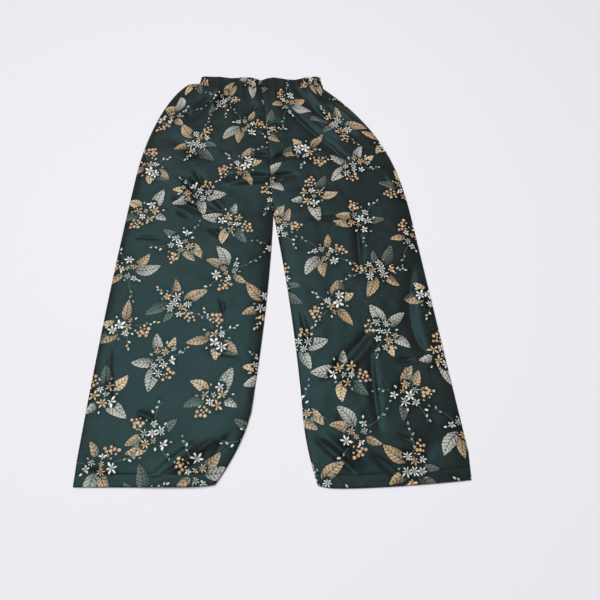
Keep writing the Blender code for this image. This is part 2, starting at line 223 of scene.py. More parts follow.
def smooth(x, y, at):
    """A monotone cubic through points of rising x: each piece is a Hermite curve, and its slopes
    are harmonic means of the rises on both sides, or zero at a peak."""
    step = np.diff(x)
    rise = np.diff(y) / step
    same_way = rise[1:] * rise[:-1] > 0
    mean = 2 * rise[1:] * rise[:-1] / np.where(same_way, rise[1:] + rise[:-1], 1.0)
    slope = np.concatenate([rise[:1], np.where(same_way, mean, 0.0), rise[-1:]])
    at = np.clip(at, x[0], x[-1])
    i = np.clip(np.searchsorted(x, at) - 1, 0, len(step) - 1)
    t = (at - x[i]) / step[i]
    ends = (1 + 2 * t) * (1 - t) ** 2 * y[i] + t * t * (3 - 2 * t) * y[i + 1]
    bend = t * (1 - t) ** 2 * slope[i] - t * t * (1 - t) * slope[i + 1]
    return ends + bend * step[i]


def ease(t):
    """0 below 0 and 1 above 1, with t * t * (3 - 2 * t) between."""
    t = np.clip(t, 0.0, 1.0)
    return t * t * (3 - 2 * t)


def edge_line(name, y):
    """The runs of an edge, one after another: each is a straight line that bows by
    4 * bow * t * (1 - t)."""
    x = EDGES[name][0].from_x
    for run in EDGES[name]:
        t = np.clip((run.from_y - y) / (run.from_y - run.to_y), 0.0, 1.0)
        x = x + (run.to_x - run.from_x) * t + 4 * run.bow * t * (1 - t)
    return x


def outer_edge(side, y):
    """An outer edge, taken in above the hip by inwards * (1 - (1 - t^power)^(1 / roundness))."""
    shoulder = SHOULDERS[side]
    t = np.clip((y - shoulder.top + shoulder.height) / shoulder.height, 0.0, 1.0)
    taken_in = 1 - (1 - t**shoulder.power) ** (1 / shoulder.roundness)
    return edge_line(f"{side}_outer", y) + shoulder.inwards * taken_in


def seam_edge(side, y):
    """The centre seam above the crotch and the inner leg edge below it."""
    return edge_line(f"{side}_seam", y)


def hem_rise(side, share):
    """How far a hem lies above HEM_Y. share is the way from its outer to its inner edge."""
    hem = HEM_EDGES[side]
    outer = hem.outer_rise * (1 - share) ** hem.outer_power
    return hem.level + outer + hem.inner_rise * share**hem.inner_power


def casing_edge(name, x):
    """The casing's top or bottom edge: both sag towards the middle, and the top edge has dips."""
    share = np.clip((x - CASING_CENTRE_X) / CASING_HALF_WIDTH, -1.0, 1.0)
    if name == "bottom":
        return CASING_BOTTOM + CASING_BOTTOM_SAG * share**2
    dips = sum(dip.depth * np.exp(-(((x - dip.across) / dip.half_width) ** 2)) for dip in CASING_DIPS)
    return CASING_TOP + CASING_TOP_SAG * share**2 - dips


def loft(y):
    """How far the front stands off the back along the garment, away from folds and edges."""
    return smooth(column(LOFTS, "along"), column(LOFTS, "height"), y)


hem_widths = [abs(outer_edge(side, HEM_Y) - seam_edge(side, HEM_Y)) for side in SIDES]
print("widths of the hems, mm:", [round(float(width)) for width in hem_widths])

# %% [markdown]
# ## Folds, creases and gathers
#
# Satin holds both the broad folds of how it was laid down and the sharp little creases of how it
# was packed. A cloth simulation gives folds, but not these folds, so they are placed one by one.
# Each is a bell-shaped ridge or trough across a bowed line. The broad ones are those of the solid
# model, and the creases, which are narrower, are added here. Elastic draws the cloth in at the
# waist: the gathers fan out below the casing and die away.

# %% Broad folds, in millimetres
Fold = namedtuple("Fold", "from_x from_y to_x to_y bow half_width height")
BROAD_FOLDS = (
    Fold(14, 394, 122, 266, -6, 11, -5.5),
    Fold(52, 384, 142, 300, -4, 9, 6.5),
    Fold(78, 392, 176, 300, -5, 13, -5.5),
    Fold(112, 402, 190, 334, 4, 9, 4.0),
    Fold(40, 352, 96, 290, -3, 10, 3.5),
    Fold(119, 274, 166, 220, -4, 10, -3.0),
    Fold(-152, 428, -214, 352, 8, 12, -4.5),
    Fold(-138, 440, -164, 384, 4, 8, 5.0),
    Fold(-108, 432, -150, 384, 6, 11, -4.5),
    Fold(-236, 290, -190, 254, 3, 12, -2.2),
    Fold(-196, 241, -156, 240, 4, 9, -2.6),
    Fold(-112, 184, -14, 189, 4, 8, -4.5),
    Fold(-108, 166, -15, 172, 4, 8, 4.0),
    Fold(-62, 249, -18, 245, 2, 8, -3.0),
    Fold(-16, 228, 62, 252, 12, 8, -4.5),
    Fold(-8, 212, 66, 226, 8, 10, 3.5),
    Fold(-14, 178, 36, 190, 2, 9, -4.5),
    Fold(-182, 194, -146, 142, -3, 8, -3.0),
    Fold(-206, 182, -122, 94, -9, 9, -6.0),
    Fold(-190, 192, -124, 112, -8, 8, 4.0),
    Fold(-226, 134, -142, 92, -12, 8, -3.2),
    Fold(-142, 50, -106, 28, 2, 9, -2.4),
    Fold(-322, -226, -309, -330, -4, 11, -1.8),
    Fold(-256, -352, -220, -368, 2, 9, -1.8),
    Fold(-142, -408, -214, -468, 2, 8, -3.2),
    Fold(-108, -402, -182, -462, 2, 9, 3.2),
    Fold(-80, -396, -110, -440, 0, 8, -2.6),
    Fold(-332, -461, -298, -472, 2, 8, -2.0),
    Fold(74, 77, 216, 76, 2, 9, -1.6),
    Fold(172, 84, 176, -52, 0, 9, -3.4),
    Fold(284, -50, 294, -236, -18, 13, -4.0),
    Fold(183, -192, 100, -283, 3, 9, -5.0),
    Fold(200, -198, 122, -286, 3, 9, 3.0),
    Fold(188, -234, 197, -382, -2, 9, -3.0),
    Fold(50, -140, 69, -228, 2, 8, -2.2),
    Fold(264, -270, 234, -309, 2, 9, -2.2),
    Fold(82, -404, 148, -460, 2, 8, -3.0),
    Fold(98, -396, 158, -452, 2, 8, 3.2),
    Fold(186, -434, 230, -472, 1, 8, -2.4),
    Fold(262, -446, 312, -398, 2, 16, -2.6),
)
print("broad folds:", len(BROAD_FOLDS))

# %% Fine creases, in millimetres
CREASES = (
    Fold(-197, 389, -145, 430, 3, 6, -1.6),
    Fold(-159, 392, -140, 436, 2, 4, 1.4),
    Fold(-149, 389, -111, 439, -3, 5, -1.6),
    Fold(-225, 386, -214, 368, 0, 5, -1.4),
    Fold(-193, 239, -159, 241, 2, 4, -1.5),
    Fold(-181, 191, -148, 145, 0, 3.5, -1.3),
    Fold(-202, 178, -126, 99, 4, 4.5, -1.8),
    Fold(-223, 131, -145, 93, -4, 3.5, -1.4),
    Fold(-211, 95, -195, 82, 0, 4, -1.2),
    Fold(-106, 182, -15, 189, 2, 4, -1.8),
    Fold(-104, 168, -15, 172, 2, 4, 1.2),
    Fold(-44, 250, -20, 244, 0, 4, -1.4),
    Fold(-16, 230, 59, 252, 8, 4, -1.7),
    Fold(-15, 189, 32, 194, 1, 4, -1.6),
    Fold(-15, 172, 21, 180, 0, 4, -1.5),
    Fold(22, 383, 119, 270, -4, 5, -1.6),
    Fold(80, 388, 171, 305, -4, 6, -1.8),
    Fold(119, 274, 161, 225, -2, 5, -1.3),
    Fold(-18, 351, 7, 330, 2, 5, -1.4),
    Fold(-70, 368, -52, 398, -2, 5, -1.4),
    Fold(-42, 362, -1, 326, 2, 5, -1.2),
    Fold(76, 77, 214, 77, 1, 3.5, -1.1),
    Fold(173, 85, 175, -48, -1, 4.5, -1.7),
    Fold(188, -238, 196, -377, -2, 4, -1.5),
    Fold(284, -53, 271, -177, -4, 5, -1.5),
    Fold(271, -177, 293, -227, -4, 5, -1.3),
    Fold(179, -197, 104, -279, 2, 4.5, -2.0),
    Fold(52, -147, 68, -224, 1, 4, -1.3),
    Fold(262, -272, 235, -307, 1, 3.5, -1.2),
    Fold(242, -249, 267, -247, 0, 3.5, -1.2),
    Fold(85, -407, 145, -458, 1, 4, -1.5),
    Fold(98, -403, 151, -455, 1, 4, 1.2),
    Fold(188, -436, 227, -471, 1, 4, -1.4),
    Fold(236, -397, 252, -406, 0, 3.5, -1.1),
    Fold(234, -426, 259, -433, 0, 3.5, -1.1),
    Fold(122, -359, 128, -387, 0, 4, -0.9),
    Fold(238, 186, 249, 148, 1, 4, -1.1),
    Fold(-299, 29, -252, 27, 1, 3.5, -1.1),
    Fold(-139, 48, -112, 32, 0, 4, -1.3),
    Fold(-321, -231, -309, -325, -3, 4, -1.2),
    Fold(-252, -353, -224, -366, 0, 4, -1.1),
    Fold(-148, -413, -208, -465, 1, 4, -1.6),
    Fold(-112, -407, -177, -458, 1, 4, 1.3),
    Fold(-83, -400, -107, -436, 0, 3.5, -1.4),
    Fold(-330, -462, -303, -471, 0, 3.5, -1.2),
    Fold(-134, -231, -67, -238, 2, 6, -1.0),
    Fold(-111, -118, -103, -147, 1, 3.5, -1.2),
)
UNDERSIDE_CREASES = (
    Fold(-250, 300, -120, 240, 6, 10, 1.3),
    Fold(-60, 330, -160, 180, 8, 12, 1.2),
    Fold(40, 340, 170, 250, -6, 11, 1.4),
    Fold(60, 180, 230, 150, 5, 9, 1.1),
    Fold(-280, 20, -80, -30, 7, 10, 1.0),
    Fold(-220, -140, -150, -300, 5, 9, 1.2),
    Fold(90, 10, 250, -90, -8, 11, 1.2),
    Fold(120, -240, 260, -330, 6, 10, 1.3),
    Fold(-320, -380, -230, -440, 3, 8, 0.9),
)
# Two controls for how crumpled the cloth looks: creases stand this many times the height in
# their table, and are this many times as wide.
CREASE_SHARPNESS = 2.5
CREASE_BREADTH = 1.25
FRONT_FOLDS = BROAD_FOLDS + tuple(
    crease._replace(
        half_width=CREASE_BREADTH * crease.half_width,
        height=CREASE_SHARPNESS * crease.height,
    )
    for crease in CREASES
)
print("creases on the front:", len(CREASES), "and underneath:", len(UNDERSIDE_CREASES))

# %% Gathers, in millimetres
FOLD_END = 0.35
GATHER_FAN = 0.7
ELASTIC_HOLD = 0.65
ELASTIC_RISE = 10.0
Gather = namedtuple("Gather", "across lean length half_width height")
GATHERS = (
    Gather(-180, -42, 62, 8, 4.2),
    Gather(-163, -26, 44, 7, 2.6),
    Gather(-146, -22, 78, 8, 4.6),
    Gather(-126, -12, 40, 8, 2.4),
    Gather(-110, -4, 92, 7, 4.4),
    Gather(-90, -1, 58, 8, 3.0),
    Gather(-72, 4, 46, 7, 2.4),
    Gather(-56, 4, 70, 7, 3.6),
    Gather(-34, 6, 52, 7, 3.0),
    Gather(-14, 12, 74, 8, 3.8),
    Gather(6, 14, 42, 8, 2.4),
    Gather(26, 24, 66, 8, 3.4),
    Gather(46, 26, 44, 7, 2.6),
    Gather(64, 44, 84, 8, 4.4),
    Gather(82, 44, 60, 7, 3.4),
)
print("gathers:", len(GATHERS))


# %% Heights from the fold tables
def from_line(x, y, start, ahead):
    """How far points lie along a line and to the left of it. ahead is its unit direction."""
    x = x - start[0]
    y = y - start[1]
    return x * ahead[0] + y * ahead[1], y * ahead[0] - x * ahead[1]


def bow_of(bow, t):
    """How far a line that bows by bow halfway along stands off at the share t of its length."""
    return 4 * bow * t * (1 - t)


def fold_height(x, y, fold):
    """A bell across a bowed line: height * fade * exp(-(distance from the line / half_width)^2),
    where the fade is greatest halfway along."""
    ahead = np.array([fold.to_x - fold.from_x, fold.to_y - fold.from_y])
    length = np.hypot(*ahead)
    along, aside = from_line(x, y, (fold.from_x, fold.from_y), ahead / length)
    inside = np.clip(along / length, 0.0, 1.0)
    aside = aside - bow_of(fold.bow, inside)
    past_end = along - inside * length
    fade = FOLD_END + (1 - FOLD_END) * np.sin(np.pi * inside)
    return fold.height * fade * np.exp(-(aside**2 + past_end**2) / fold.half_width**2)


def gather_height(x, y):
    """Ridges that lean outwards below the casing, widen and die away. The elastic holds them
    down by ELASTIC_HOLD within the casing."""
    below = np.maximum(casing_edge("bottom", x) - y, 0.0)
    total = np.zeros_like(x)
    for gather in GATHERS:
        share = below / gather.length
        line = gather.across + gather.lean * share
        width = gather.half_width * (1 + GATHER_FAN * share)
        total += gather.height * np.exp(-(((x - line) / width) ** 2) - share**2)
    held = ease((y - casing_edge("bottom", x)) / ELASTIC_RISE)
    return total * (1 - ELASTIC_HOLD * held)


print("tallest gather, mm:", column(GATHERS, "height").max())

# %% Ripples and unevenness
RIPPLE_PITCH = 7.5
RIPPLE_HEIGHT = 0.14
RIPPLE_LENGTH = 16.0
LATTICE = 64
Hills = namedtuple("Hills", "height cell seed")
UNEVENNESS = (Hills(0.7, 46.0, 3), Hills(0.3, 17.0, 8))


def elastic_ripple(x, y):
    """Small uneven ripples of the cloth on the elastic: a sine across the casing whose pitch
    drifts, which dies away below it."""
    below = np.maximum(casing_edge("bottom", x) - y, 0.0)
    turns = x / RIPPLE_PITCH + 0.9 * np.sin(x / 31.0) + 0.5 * np.sin(x / 12.7 + 1.0)
    strength = 0.6 + 0.4 * np.sin(x / 17.0 + 0.7)
    fade = np.exp(-((below / RIPPLE_LENGTH) ** 2))
    return RIPPLE_HEIGHT * strength * np.sin(2 * np.pi * turns) * fade


def soft_unevenness(x, y, cell, seed):
    """Smooth hills and hollows between -1 and 1: random heights on a square lattice, eased from
    one lattice point to the next in both directions."""
    heights = np.random.default_rng(seed).uniform(-1.0, 1.0, (LATTICE, LATTICE))
    last = LATTICE - 1
    across = x / cell + last / 2
    along = y / cell + last / 2
    i = np.floor(across).astype(int) % last
    j = np.floor(along).astype(int) % last
    s = ease(across - np.floor(across))
    t = ease(along - np.floor(along))
    near = (1 - s) * heights[i, j] + s * heights[i + 1, j]
    far = (1 - s) * heights[i, j + 1] + s * heights[i + 1, j + 1]
    return (1 - t) * near + t * far


along_casing = np.linspace(CASING_CENTRE_X - CASING_HALF_WIDTH, CASING_CENTRE_X + CASING_HALF_WIDTH, 400)
print("casing ripple, mm:", round(float(np.ptp(elastic_ripple(along_casing, CASING_TOP))), 2))

# %% [markdown]
# ## How high the front lies
#
# The front panels lie loosely on the back ones. They stand off by a loft, by the folds and by the
# gathers, and come down at every edge. At the side and inner leg seams the cloth turns over and
# meets the back panel, so the last few millimetres follow a quarter ellipse down to it.

# %% Heights of the front and back cloth, in millimetres
CLOTH = 0.8
FRONT_REST = 2.7
EDGE_ROLL = 13.0
LEAST_LIFT = 0.5
HEM_RISE = 30.0
CROTCH_RISE = 40.0
HEM_DEPTH = 20.0
HEM_RAISE = 0.5
STITCH_DIP = 0.9
STITCH_HALF_WIDTH = 3.0
SEAM_DIP = 0.8
SEAM_HALF_WIDTH = 4.0
CORNER_TOP = (-47.0, -366.0)
CORNER_TIP = (-134.0, -448.0)
CORNER_THICKNESS = 2.6
CORNER_CLEAR = 16.0
CORNER_FRONT_CLEAR = 24.0
CORNER_RAMP = 34.0
SEAM_LEVEL = 1.0
BACK_SEAM_LEVEL = 0.9
FLAT_RIM = 0.2
TURN_WIDTH = 2.6
FELL_DROP = 0.6
FELL_WIDTH = 1.2
HEM_FOLD = 1.6


def leg_edge_distance(side, x, y):
    """How far a point is from the inner leg edge or, above the crotch, from the crotch."""
    aside = np.abs(x - seam_edge(side, y))
    above = np.maximum(y - CROTCH_Y, 0.0)
    return np.hypot(aside, above)


def corner_lift(side, x, y, clear):
    """How far the left leg's corner, which is folded under, raises the cloth over it. It eases
    down over CORNER_RAMP, from clear beside the fold line and above its top."""
    if side == "right":
        return np.zeros_like(x)
    ahead = np.subtract(CORNER_TIP, CORNER_TOP)
    along, aside = from_line(x, y, CORNER_TOP, ahead / np.hypot(*ahead))
    over = ease(1 + (aside + clear) / CORNER_RAMP)
    below_top = ease(1 + (along + clear) / CORNER_RAMP)
    return (CORNER_THICKNESS + SEAM_GAP) * over * below_top


def front_lift(x, y, edge, hem):
    """The loft, folds and gathers, faded out towards the edges and kept above LEAST_LIFT by
    (r + sqrt(r^2 + 4 * least^2)) / 2. edge and hem are the distances to them."""
    relief = loft(y) + gather_height(x, y) + elastic_ripple(x, y)
    for fold in FRONT_FOLDS:
        relief = relief + fold_height(x, y, fold)
    for hills in UNEVENNESS:
        relief = relief + hills.height * soft_unevenness(x, y, hills.cell, hills.seed)
    relief = relief * (1 - np.exp(-edge / EDGE_ROLL))
    relief = relief * (0.5 + 0.5 * ease(hem / HEM_RISE))
    seam = np.exp(-(((x - seam_edge("left", y)) / SEAM_HALF_WIDTH) ** 2))
    relief = relief - SEAM_DIP * seam * ease((y - CROTCH_Y) / CROTCH_RISE)
    relief = relief - STITCH_DIP * np.exp(-(((hem - HEM_DEPTH) / STITCH_HALF_WIDTH) ** 2))
    return 0.5 * (relief + np.sqrt(relief**2 + 4 * LEAST_LIFT**2))


def quarter_turn(distance, width):
    """0 at an edge and 1 from width inwards, rising as a quarter ellipse."""
    return np.sqrt(1 - (1 - np.clip(distance / width, 0.0, 1.0)) ** 2)


def front_height(side, x, y, hem):
    """The outer surface of a front panel, before it turns over at its edges."""
    edge = np.minimum(np.abs(x - outer_edge(side, y)), leg_edge_distance(side, x, y))
    height = FRONT_REST + front_lift(x, y, edge, hem)
    height = height + HEM_RAISE * ease((HEM_DEPTH - hem) / STITCH_HALF_WIDTH)
    return height + corner_lift(side, x, y, CORNER_FRONT_CLEAR)


print("the front rests", FRONT_REST, "mm up")

# %% [markdown]
# ## Grids for the panels
#
# A panel is a function of two shares: one runs across it from its outer edge to its seam edge,
# the other down it from the casing to the hem. The cells are nearly square and about 2 mm wide,
# and a few narrow ones near each edge follow the turn of the cloth there.

# %% Panel grids
FRONT_ACROSS = 148
FRONT_ALONG = 464
BACK_ACROSS = 124
BACK_ALONG = 388
TURN_CELLS = 4
PANEL_WIDTH = 300.0
TOP_BLEND = 190.0
HEM_BLEND = 220.0
TOP_STATION = CASING_BOTTOM - SEAM_GAP
TOP_STEPS = 6


def crowded_shares(cells, turn):
    """Even shares from 0 to 1, but for TURN_CELLS at each end whose steps grow as 1 - cos."""
    angle = np.linspace(0.0, np.pi / 2, TURN_CELLS + 1)
    start = turn * (1 - np.cos(angle))
    middle = np.linspace(turn, 1 - turn, cells - 2 * TURN_CELLS + 1)[1:-1]
    return np.concatenate([start, middle, 1 - start[::-1]])


def panel_grid(side, across, along):
    """X and Y of a panel's points, and the distance of each above the hem and below the top. The
    rows start level with the casing's edge and end level with the hem, so they bend near both.
    Where a row starts depends on its X, which depends on where it starts, so TOP_STEPS rounds
    settle it."""
    share = crowded_shares(across, TURN_WIDTH / PANEL_WIDTH)[None, :]
    down = crowded_shares(along, FELL_WIDTH / (TOP_STATION - HEM_Y))[:, None]
    station = TOP_STATION + (HEM_Y - TOP_STATION) * down
    top = np.full_like(share, CASING_BOTTOM + CASING_BOTTOM_SAG)
    for _ in range(TOP_STEPS):
        x = (1 - share) * outer_edge(side, top) + share * seam_edge(side, top)
        top = casing_edge("bottom", x) - SEAM_GAP
    hem = hem_rise(side, share)
    near_top = ease(1 - (top[:, -1:] - station) / TOP_BLEND)
    near_hem = ease(1 - (station - HEM_Y) / HEM_BLEND)
    y = station + (top - top[:, -1:]) * near_top + hem * near_hem
    outer = outer_edge(side, y)
    seam = seam_edge(side, y) + np.sign(outer) * 0.5 * SEAM_GAP
    x = (1 - share) * outer + share * seam
    return x, y, y - HEM_Y - hem, top - y


print("cells of a front panel:", FRONT_ACROSS * FRONT_ALONG)


# %% Front and back surfaces
def front_surface(side):
    """The outer surface of a front panel, turned over at its four edges."""
    x, y, hem, below_top = panel_grid(side, FRONT_ACROSS, FRONT_ALONG)
    z = front_height(side, x, y, hem)
    floor_level = SEAM_LEVEL + corner_lift(side, x, y, CORNER_FRONT_CLEAR)
    z = floor_level + (z - floor_level) * quarter_turn(np.abs(x - outer_edge(side, y)), TURN_WIDTH)
    legs = ease((CROTCH_Y + CROTCH_RISE - y) / CROTCH_RISE)
    inner_level = legs * floor_level + (1 - legs) * (z - FELL_DROP)
    inner_edge = np.abs(x - seam_edge(side, y))
    turn_width = FELL_WIDTH + (TURN_WIDTH - FELL_WIDTH) * legs
    z = inner_level + (z - inner_level) * quarter_turn(inner_edge, turn_width)
    z = z - HEM_FOLD * (1 - quarter_turn(hem, FELL_WIDTH))
    z = z - FELL_DROP * (1 - quarter_turn(below_top, FELL_WIDTH))
    return np.stack([x, y, np.maximum(z, SEAM_LEVEL)], axis=-1)


def back_surface(side):
    """The surface of a back panel that lies on the floor. It lifts a little under the creases,
    over the folded corner, and at the edges, where it meets the front."""
    x, y, hem, below_top = panel_grid(side, BACK_ACROSS, BACK_ALONG)
    z = corner_lift(side, x, y, CORNER_CLEAR)
    edge = np.minimum(np.abs(x - outer_edge(side, y)), np.abs(x - seam_edge(side, y)))
    inside = ease(np.minimum(edge, hem) / EDGE_ROLL - FLAT_RIM)
    lift = sum(fold_height(x, y, fold) for fold in UNDERSIDE_CREASES)
    z = z + np.clip(lift, 0.0, SEAM_LEVEL) * inside
    z = z + BACK_SEAM_LEVEL * (1 - quarter_turn(edge, TURN_WIDTH))
    return np.stack([x, y, z], axis=-1)


front_points = {side: front_surface(side) for side in SIDES}
back_points = {side: back_surface(side) for side in SIDES}
for side, points in front_points.items():
    low, high = points[..., 2].min(), points[..., 2].max()
    print("front", side, points.shape[:2], "heights", round(low, 2), "to", round(high, 2))

# %% [markdown]
# ## The print
#
# The satin carries tossed bouquets of leaves, small flowers, berries and buds on dark teal. They
# are composed by rule, and no group of a bouquet is placed by hand. A seed shuffles the arms round
# a heart, with uneven gaps between them: leaves, sprigs of buds and one bunch of berries.
# Berries and flowers crowd along a golden-angle spiral, as the seeds of a sunflower do, so that
# none hides another. The seed also makes the sizes uneven, in the same way each run.

# %% Inks and shapes of the print
INKS = {
    "tan": srgb(208, 178, 142),
    "bright": srgb(230, 204, 166),
    "ochre": srgb(216, 182, 142),
    "pink": srgb(198, 158, 126),
    "silver": srgb(200, 198, 188),
    "grey": srgb(156, 158, 150),
    "smoke": srgb(112, 116, 106),
    "white": srgb(236, 233, 226),
    "stem": srgb(104, 116, 108),
}
KINDS = {"leaf": 1, "bud": 2, "berry": 3, "flower": 4, "stem": 5}
LAYERS = {"stem": 0, "leaf": 1, "bud": 2, "berry": 3, "flower": 4}
LEAF_INKS = ("bright", "tan", "silver", "tan", "grey", "smoke")
BUD_INKS = ("white", "silver", "grey", "ochre")
BERRY_INKS = ("ochre", "ochre", "pink")
FLOWER_INKS = ("white", "silver", "white", "ochre")
Shape = namedtuple("Shape", "kind layer x y ahead_x ahead_y length half_width bow count shade ink")
MEASURES = Shape._fields[2:-1]


def polar(distance, turn):
    """A place from its distance and its direction in degrees."""
    return distance * np.array([np.cos(np.radians(turn)), np.sin(np.radians(turn))])


def shape_at(kind, place, turn, length, width, ink, bow=0.0, count=0, shade=0.0):
    """A shape that points along turn. A leaf or stem starts at place and has its whole length;
    the others have their middle at place, and length is half of theirs."""
    ahead = polar(1.0, turn)
    return Shape(kind, LAYERS[kind], *place, *ahead, length, width / 2, bow, count, shade, INKS[ink])


print("inks:", len(INKS))

# %% Sizes of a bouquet, in millimetres
GOLDEN_ANGLE = 137.5
LEAF_START = 15.0
LEAF_LENGTH = 45.0
VEIN_PITCH = 7.5
SPRIG_START = 18.0
SPRIG_LENGTH = 36.0
STEM_WIDTH = 1.1
BARE_STEM = 0.3
BUD_ANGLE = 42.0
BUD_SIZE = 3.3
BUD_WIDTH = 1.05
BUNCH_DISTANCE = 33.0
BERRY_SIZE = 3.3
BERRY_SPACING = 4.3
FLOWER_SIZE = 10.5
FLOWER_SPACING = 9.5
BETWEEN_ARMS = 25.0
OVAL = np.array([1.22, 0.9])
BOUQUET_COUNT = 6
# How uneven they are: the least and the greatest share of each size, and of the length of a leaf or
# stem for its width and bow. A leaf leans by degrees, and gaps are shared out by their weights.
LEAF_SIZES = (0.65, 1.2)
LEAF_WIDTHS = (0.42, 0.56)
LEAF_LEANS = (-30, 30)
BOWS = (-0.13, 0.13)
BUD_SIZES = (0.8, 1.25)
SPRIG_SIZES = (0.7, 1.6)
ROUND_SIZES = (0.64, 1.3)
PETAL_WIDTHS = (0.36, 0.62)
GAPS = (0.45, 1.6)
BETWEEN_PLACES = (0.8, 1.3)
# How many there are: the least number, and one more than the greatest.
LEAF_COUNTS = (2, 5)
SPRIG_COUNTS = (1, 3)
BUD_COUNTS = (2, 5)
BERRY_COUNTS = (8, 13)
FLOWER_COUNTS = (5, 9)
PETAL_COUNTS = (5, 8)
print("a leaf is", [LEAF_LENGTH * share for share in LEAF_SIZES], "mm long")


# %% How a bouquet is composed
def leaf(turn, chance):
    """One leaf that starts near the heart and leans off the direction of its arm."""
    length = LEAF_LENGTH * chance.uniform(*LEAF_SIZES)
    width = length * chance.uniform(*LEAF_WIDTHS)
    bow = length * chance.uniform(*BOWS)
    lean = chance.uniform(*LEAF_LEANS)
    shade = chance.uniform(-1.0, 1.0)
    veins = round(length / VEIN_PITCH)
    ink = chance.choice(LEAF_INKS)
    return [shape_at("leaf", polar(LEAF_START, turn), turn + lean, length, width, ink, bow, veins, shade)]


def bud(place, turn, chance):
    """One bud that points along turn."""
    size = BUD_SIZE * chance.uniform(*BUD_SIZES)
    return shape_at("bud", place, turn, size, BUD_WIDTH * size, chance.choice(BUD_INKS))


def sprig(turn, chance):
    """A thin bowed stem with a bud at its tip and others on alternate sides below it."""
    base = polar(SPRIG_START, turn)
    length = SPRIG_LENGTH * chance.uniform(*SPRIG_SIZES)
    bow = length * chance.uniform(*BOWS)
    count = int(chance.integers(*BUD_COUNTS))
    shapes = [shape_at("stem", base, turn, length, STEM_WIDTH, "stem", bow)]
    for number in range(count):
        t = BARE_STEM + (1 - BARE_STEM) * (number + 1) / count
        way = turn if number == count - 1 else turn + BUD_ANGLE * (1 - 2 * (number % 2))
        place = base + polar(length * t, turn) + polar(bow_of(bow, t), turn + 90)
        shapes.append(bud(place + polar(BUD_SIZE, way), way, chance))
    return shapes


def crowd(kind, middle, count, spacing, size, inks, chance):
    """Round shapes on a spiral: the distance from its middle grows as the root of the number."""
    start = chance.uniform(0, 360)
    shapes = []
    for number in range(count):
        turn = start + GOLDEN_ANGLE * number
        place = middle + polar(spacing * np.sqrt(number + 0.3), turn)
        radius = size * chance.uniform(*ROUND_SIZES)
        petals = int(chance.integers(*PETAL_COUNTS))
        ink = chance.choice(inks)
        fullness = chance.uniform(*PETAL_WIDTHS)
        shapes.append(shape_at(kind, place, turn, radius, 2 * radius, ink, 0.0, petals, fullness))
    return shapes


def bunch(turn, chance):
    """A bunch of berries on one arm."""
    count = int(chance.integers(*BERRY_COUNTS))
    middle = polar(BUNCH_DISTANCE, turn)
    return crowd("berry", middle, count, BERRY_SPACING, BERRY_SIZE, BERRY_INKS, chance)


def compose(seed):
    """All the shapes of one bouquet, in millimetres round its heart: its arms, a bud between
    each two of them, and flowers over the heart. The whole is drawn out to an oval."""
    chance = np.random.default_rng(seed)
    leaves = [leaf] * int(chance.integers(*LEAF_COUNTS))
    arms = leaves + [sprig] * int(chance.integers(*SPRIG_COUNTS)) + [bunch]
    gaps = chance.uniform(*GAPS, len(arms))
    turns = 360 * np.cumsum(gaps) / gaps.sum()
    count = int(chance.integers(*FLOWER_COUNTS))
    shapes = crowd("flower", np.zeros(2), count, FLOWER_SPACING, FLOWER_SIZE, FLOWER_INKS, chance)
    for turn, gap, arm in zip(turns, np.roll(gaps, -1), chance.permutation(len(arms))):
        shapes += arms[arm](turn, chance)
        between = turn + 180 * gap / gaps.sum()
        place = polar(BETWEEN_ARMS * chance.uniform(*BETWEEN_PLACES), between)
        shapes.append(bud(place, between, chance))
    return [shape._replace(x=shape.x * OVAL[0], y=shape.y * OVAL[1]) for shape in shapes]


BOUQUETS = [compose(seed) for seed in range(BOUQUET_COUNT)]
print("shapes in each bouquet:", [len(bouquet) for bouquet in BOUQUETS])

# %% [markdown]
# A roller prints the same bouquets over and over. They stand in columns, and every second column
# is dropped by half a step, which hides the rows. Each is turned two or three golden angles more
# than its neighbour and moved ASIDE off its place, so that the eye finds no grid. The grain of the
# cloth runs down the middle of each leg, and the print with it. At the waist the elastic draws the
# print together.

# %% Where the bouquets lie
COLUMN_STEP = 98.0
ROW_STEP = 134.0
ASIDE = 8.0
COLUMN_NUMBERS = range(-8, 9)
ROW_NUMBERS = range(-6, 7)
BOUQUET_REACH = 110.0
KNEE_Y = -265.0
FULLNESS = 0.4
FULLNESS_FROM = 300.0
FULLNESS_DEPTH = 170.0
Lay = namedtuple("Lay", "side shift")
LAYS = {
    "front_left": Lay("left", 0),
    "front_right": Lay("right", 50),
    "back_left": Lay("left", 25),
    "back_right": Lay("right", 75),
}


def grain_lean(side):
    """How far the middle line of a leg leans between crotch and knee, in degrees."""
    ends = np.array([CROTCH_Y, KNEE_Y])
    middle = (outer_edge(side, ends) + seam_edge(side, ends)) / 2
    return np.degrees(np.arctan2(middle[1] - middle[0], ends[0] - ends[1]))


def before_gathering(x, y):
    """Where a point of the cloth lay across the garment before the elastic drew it in."""
    drawn_in = FULLNESS * ease((y - FULLNESS_FROM) / FULLNESS_DEPTH)
    return x + (x - CASING_CENTRE_X) * drawn_in


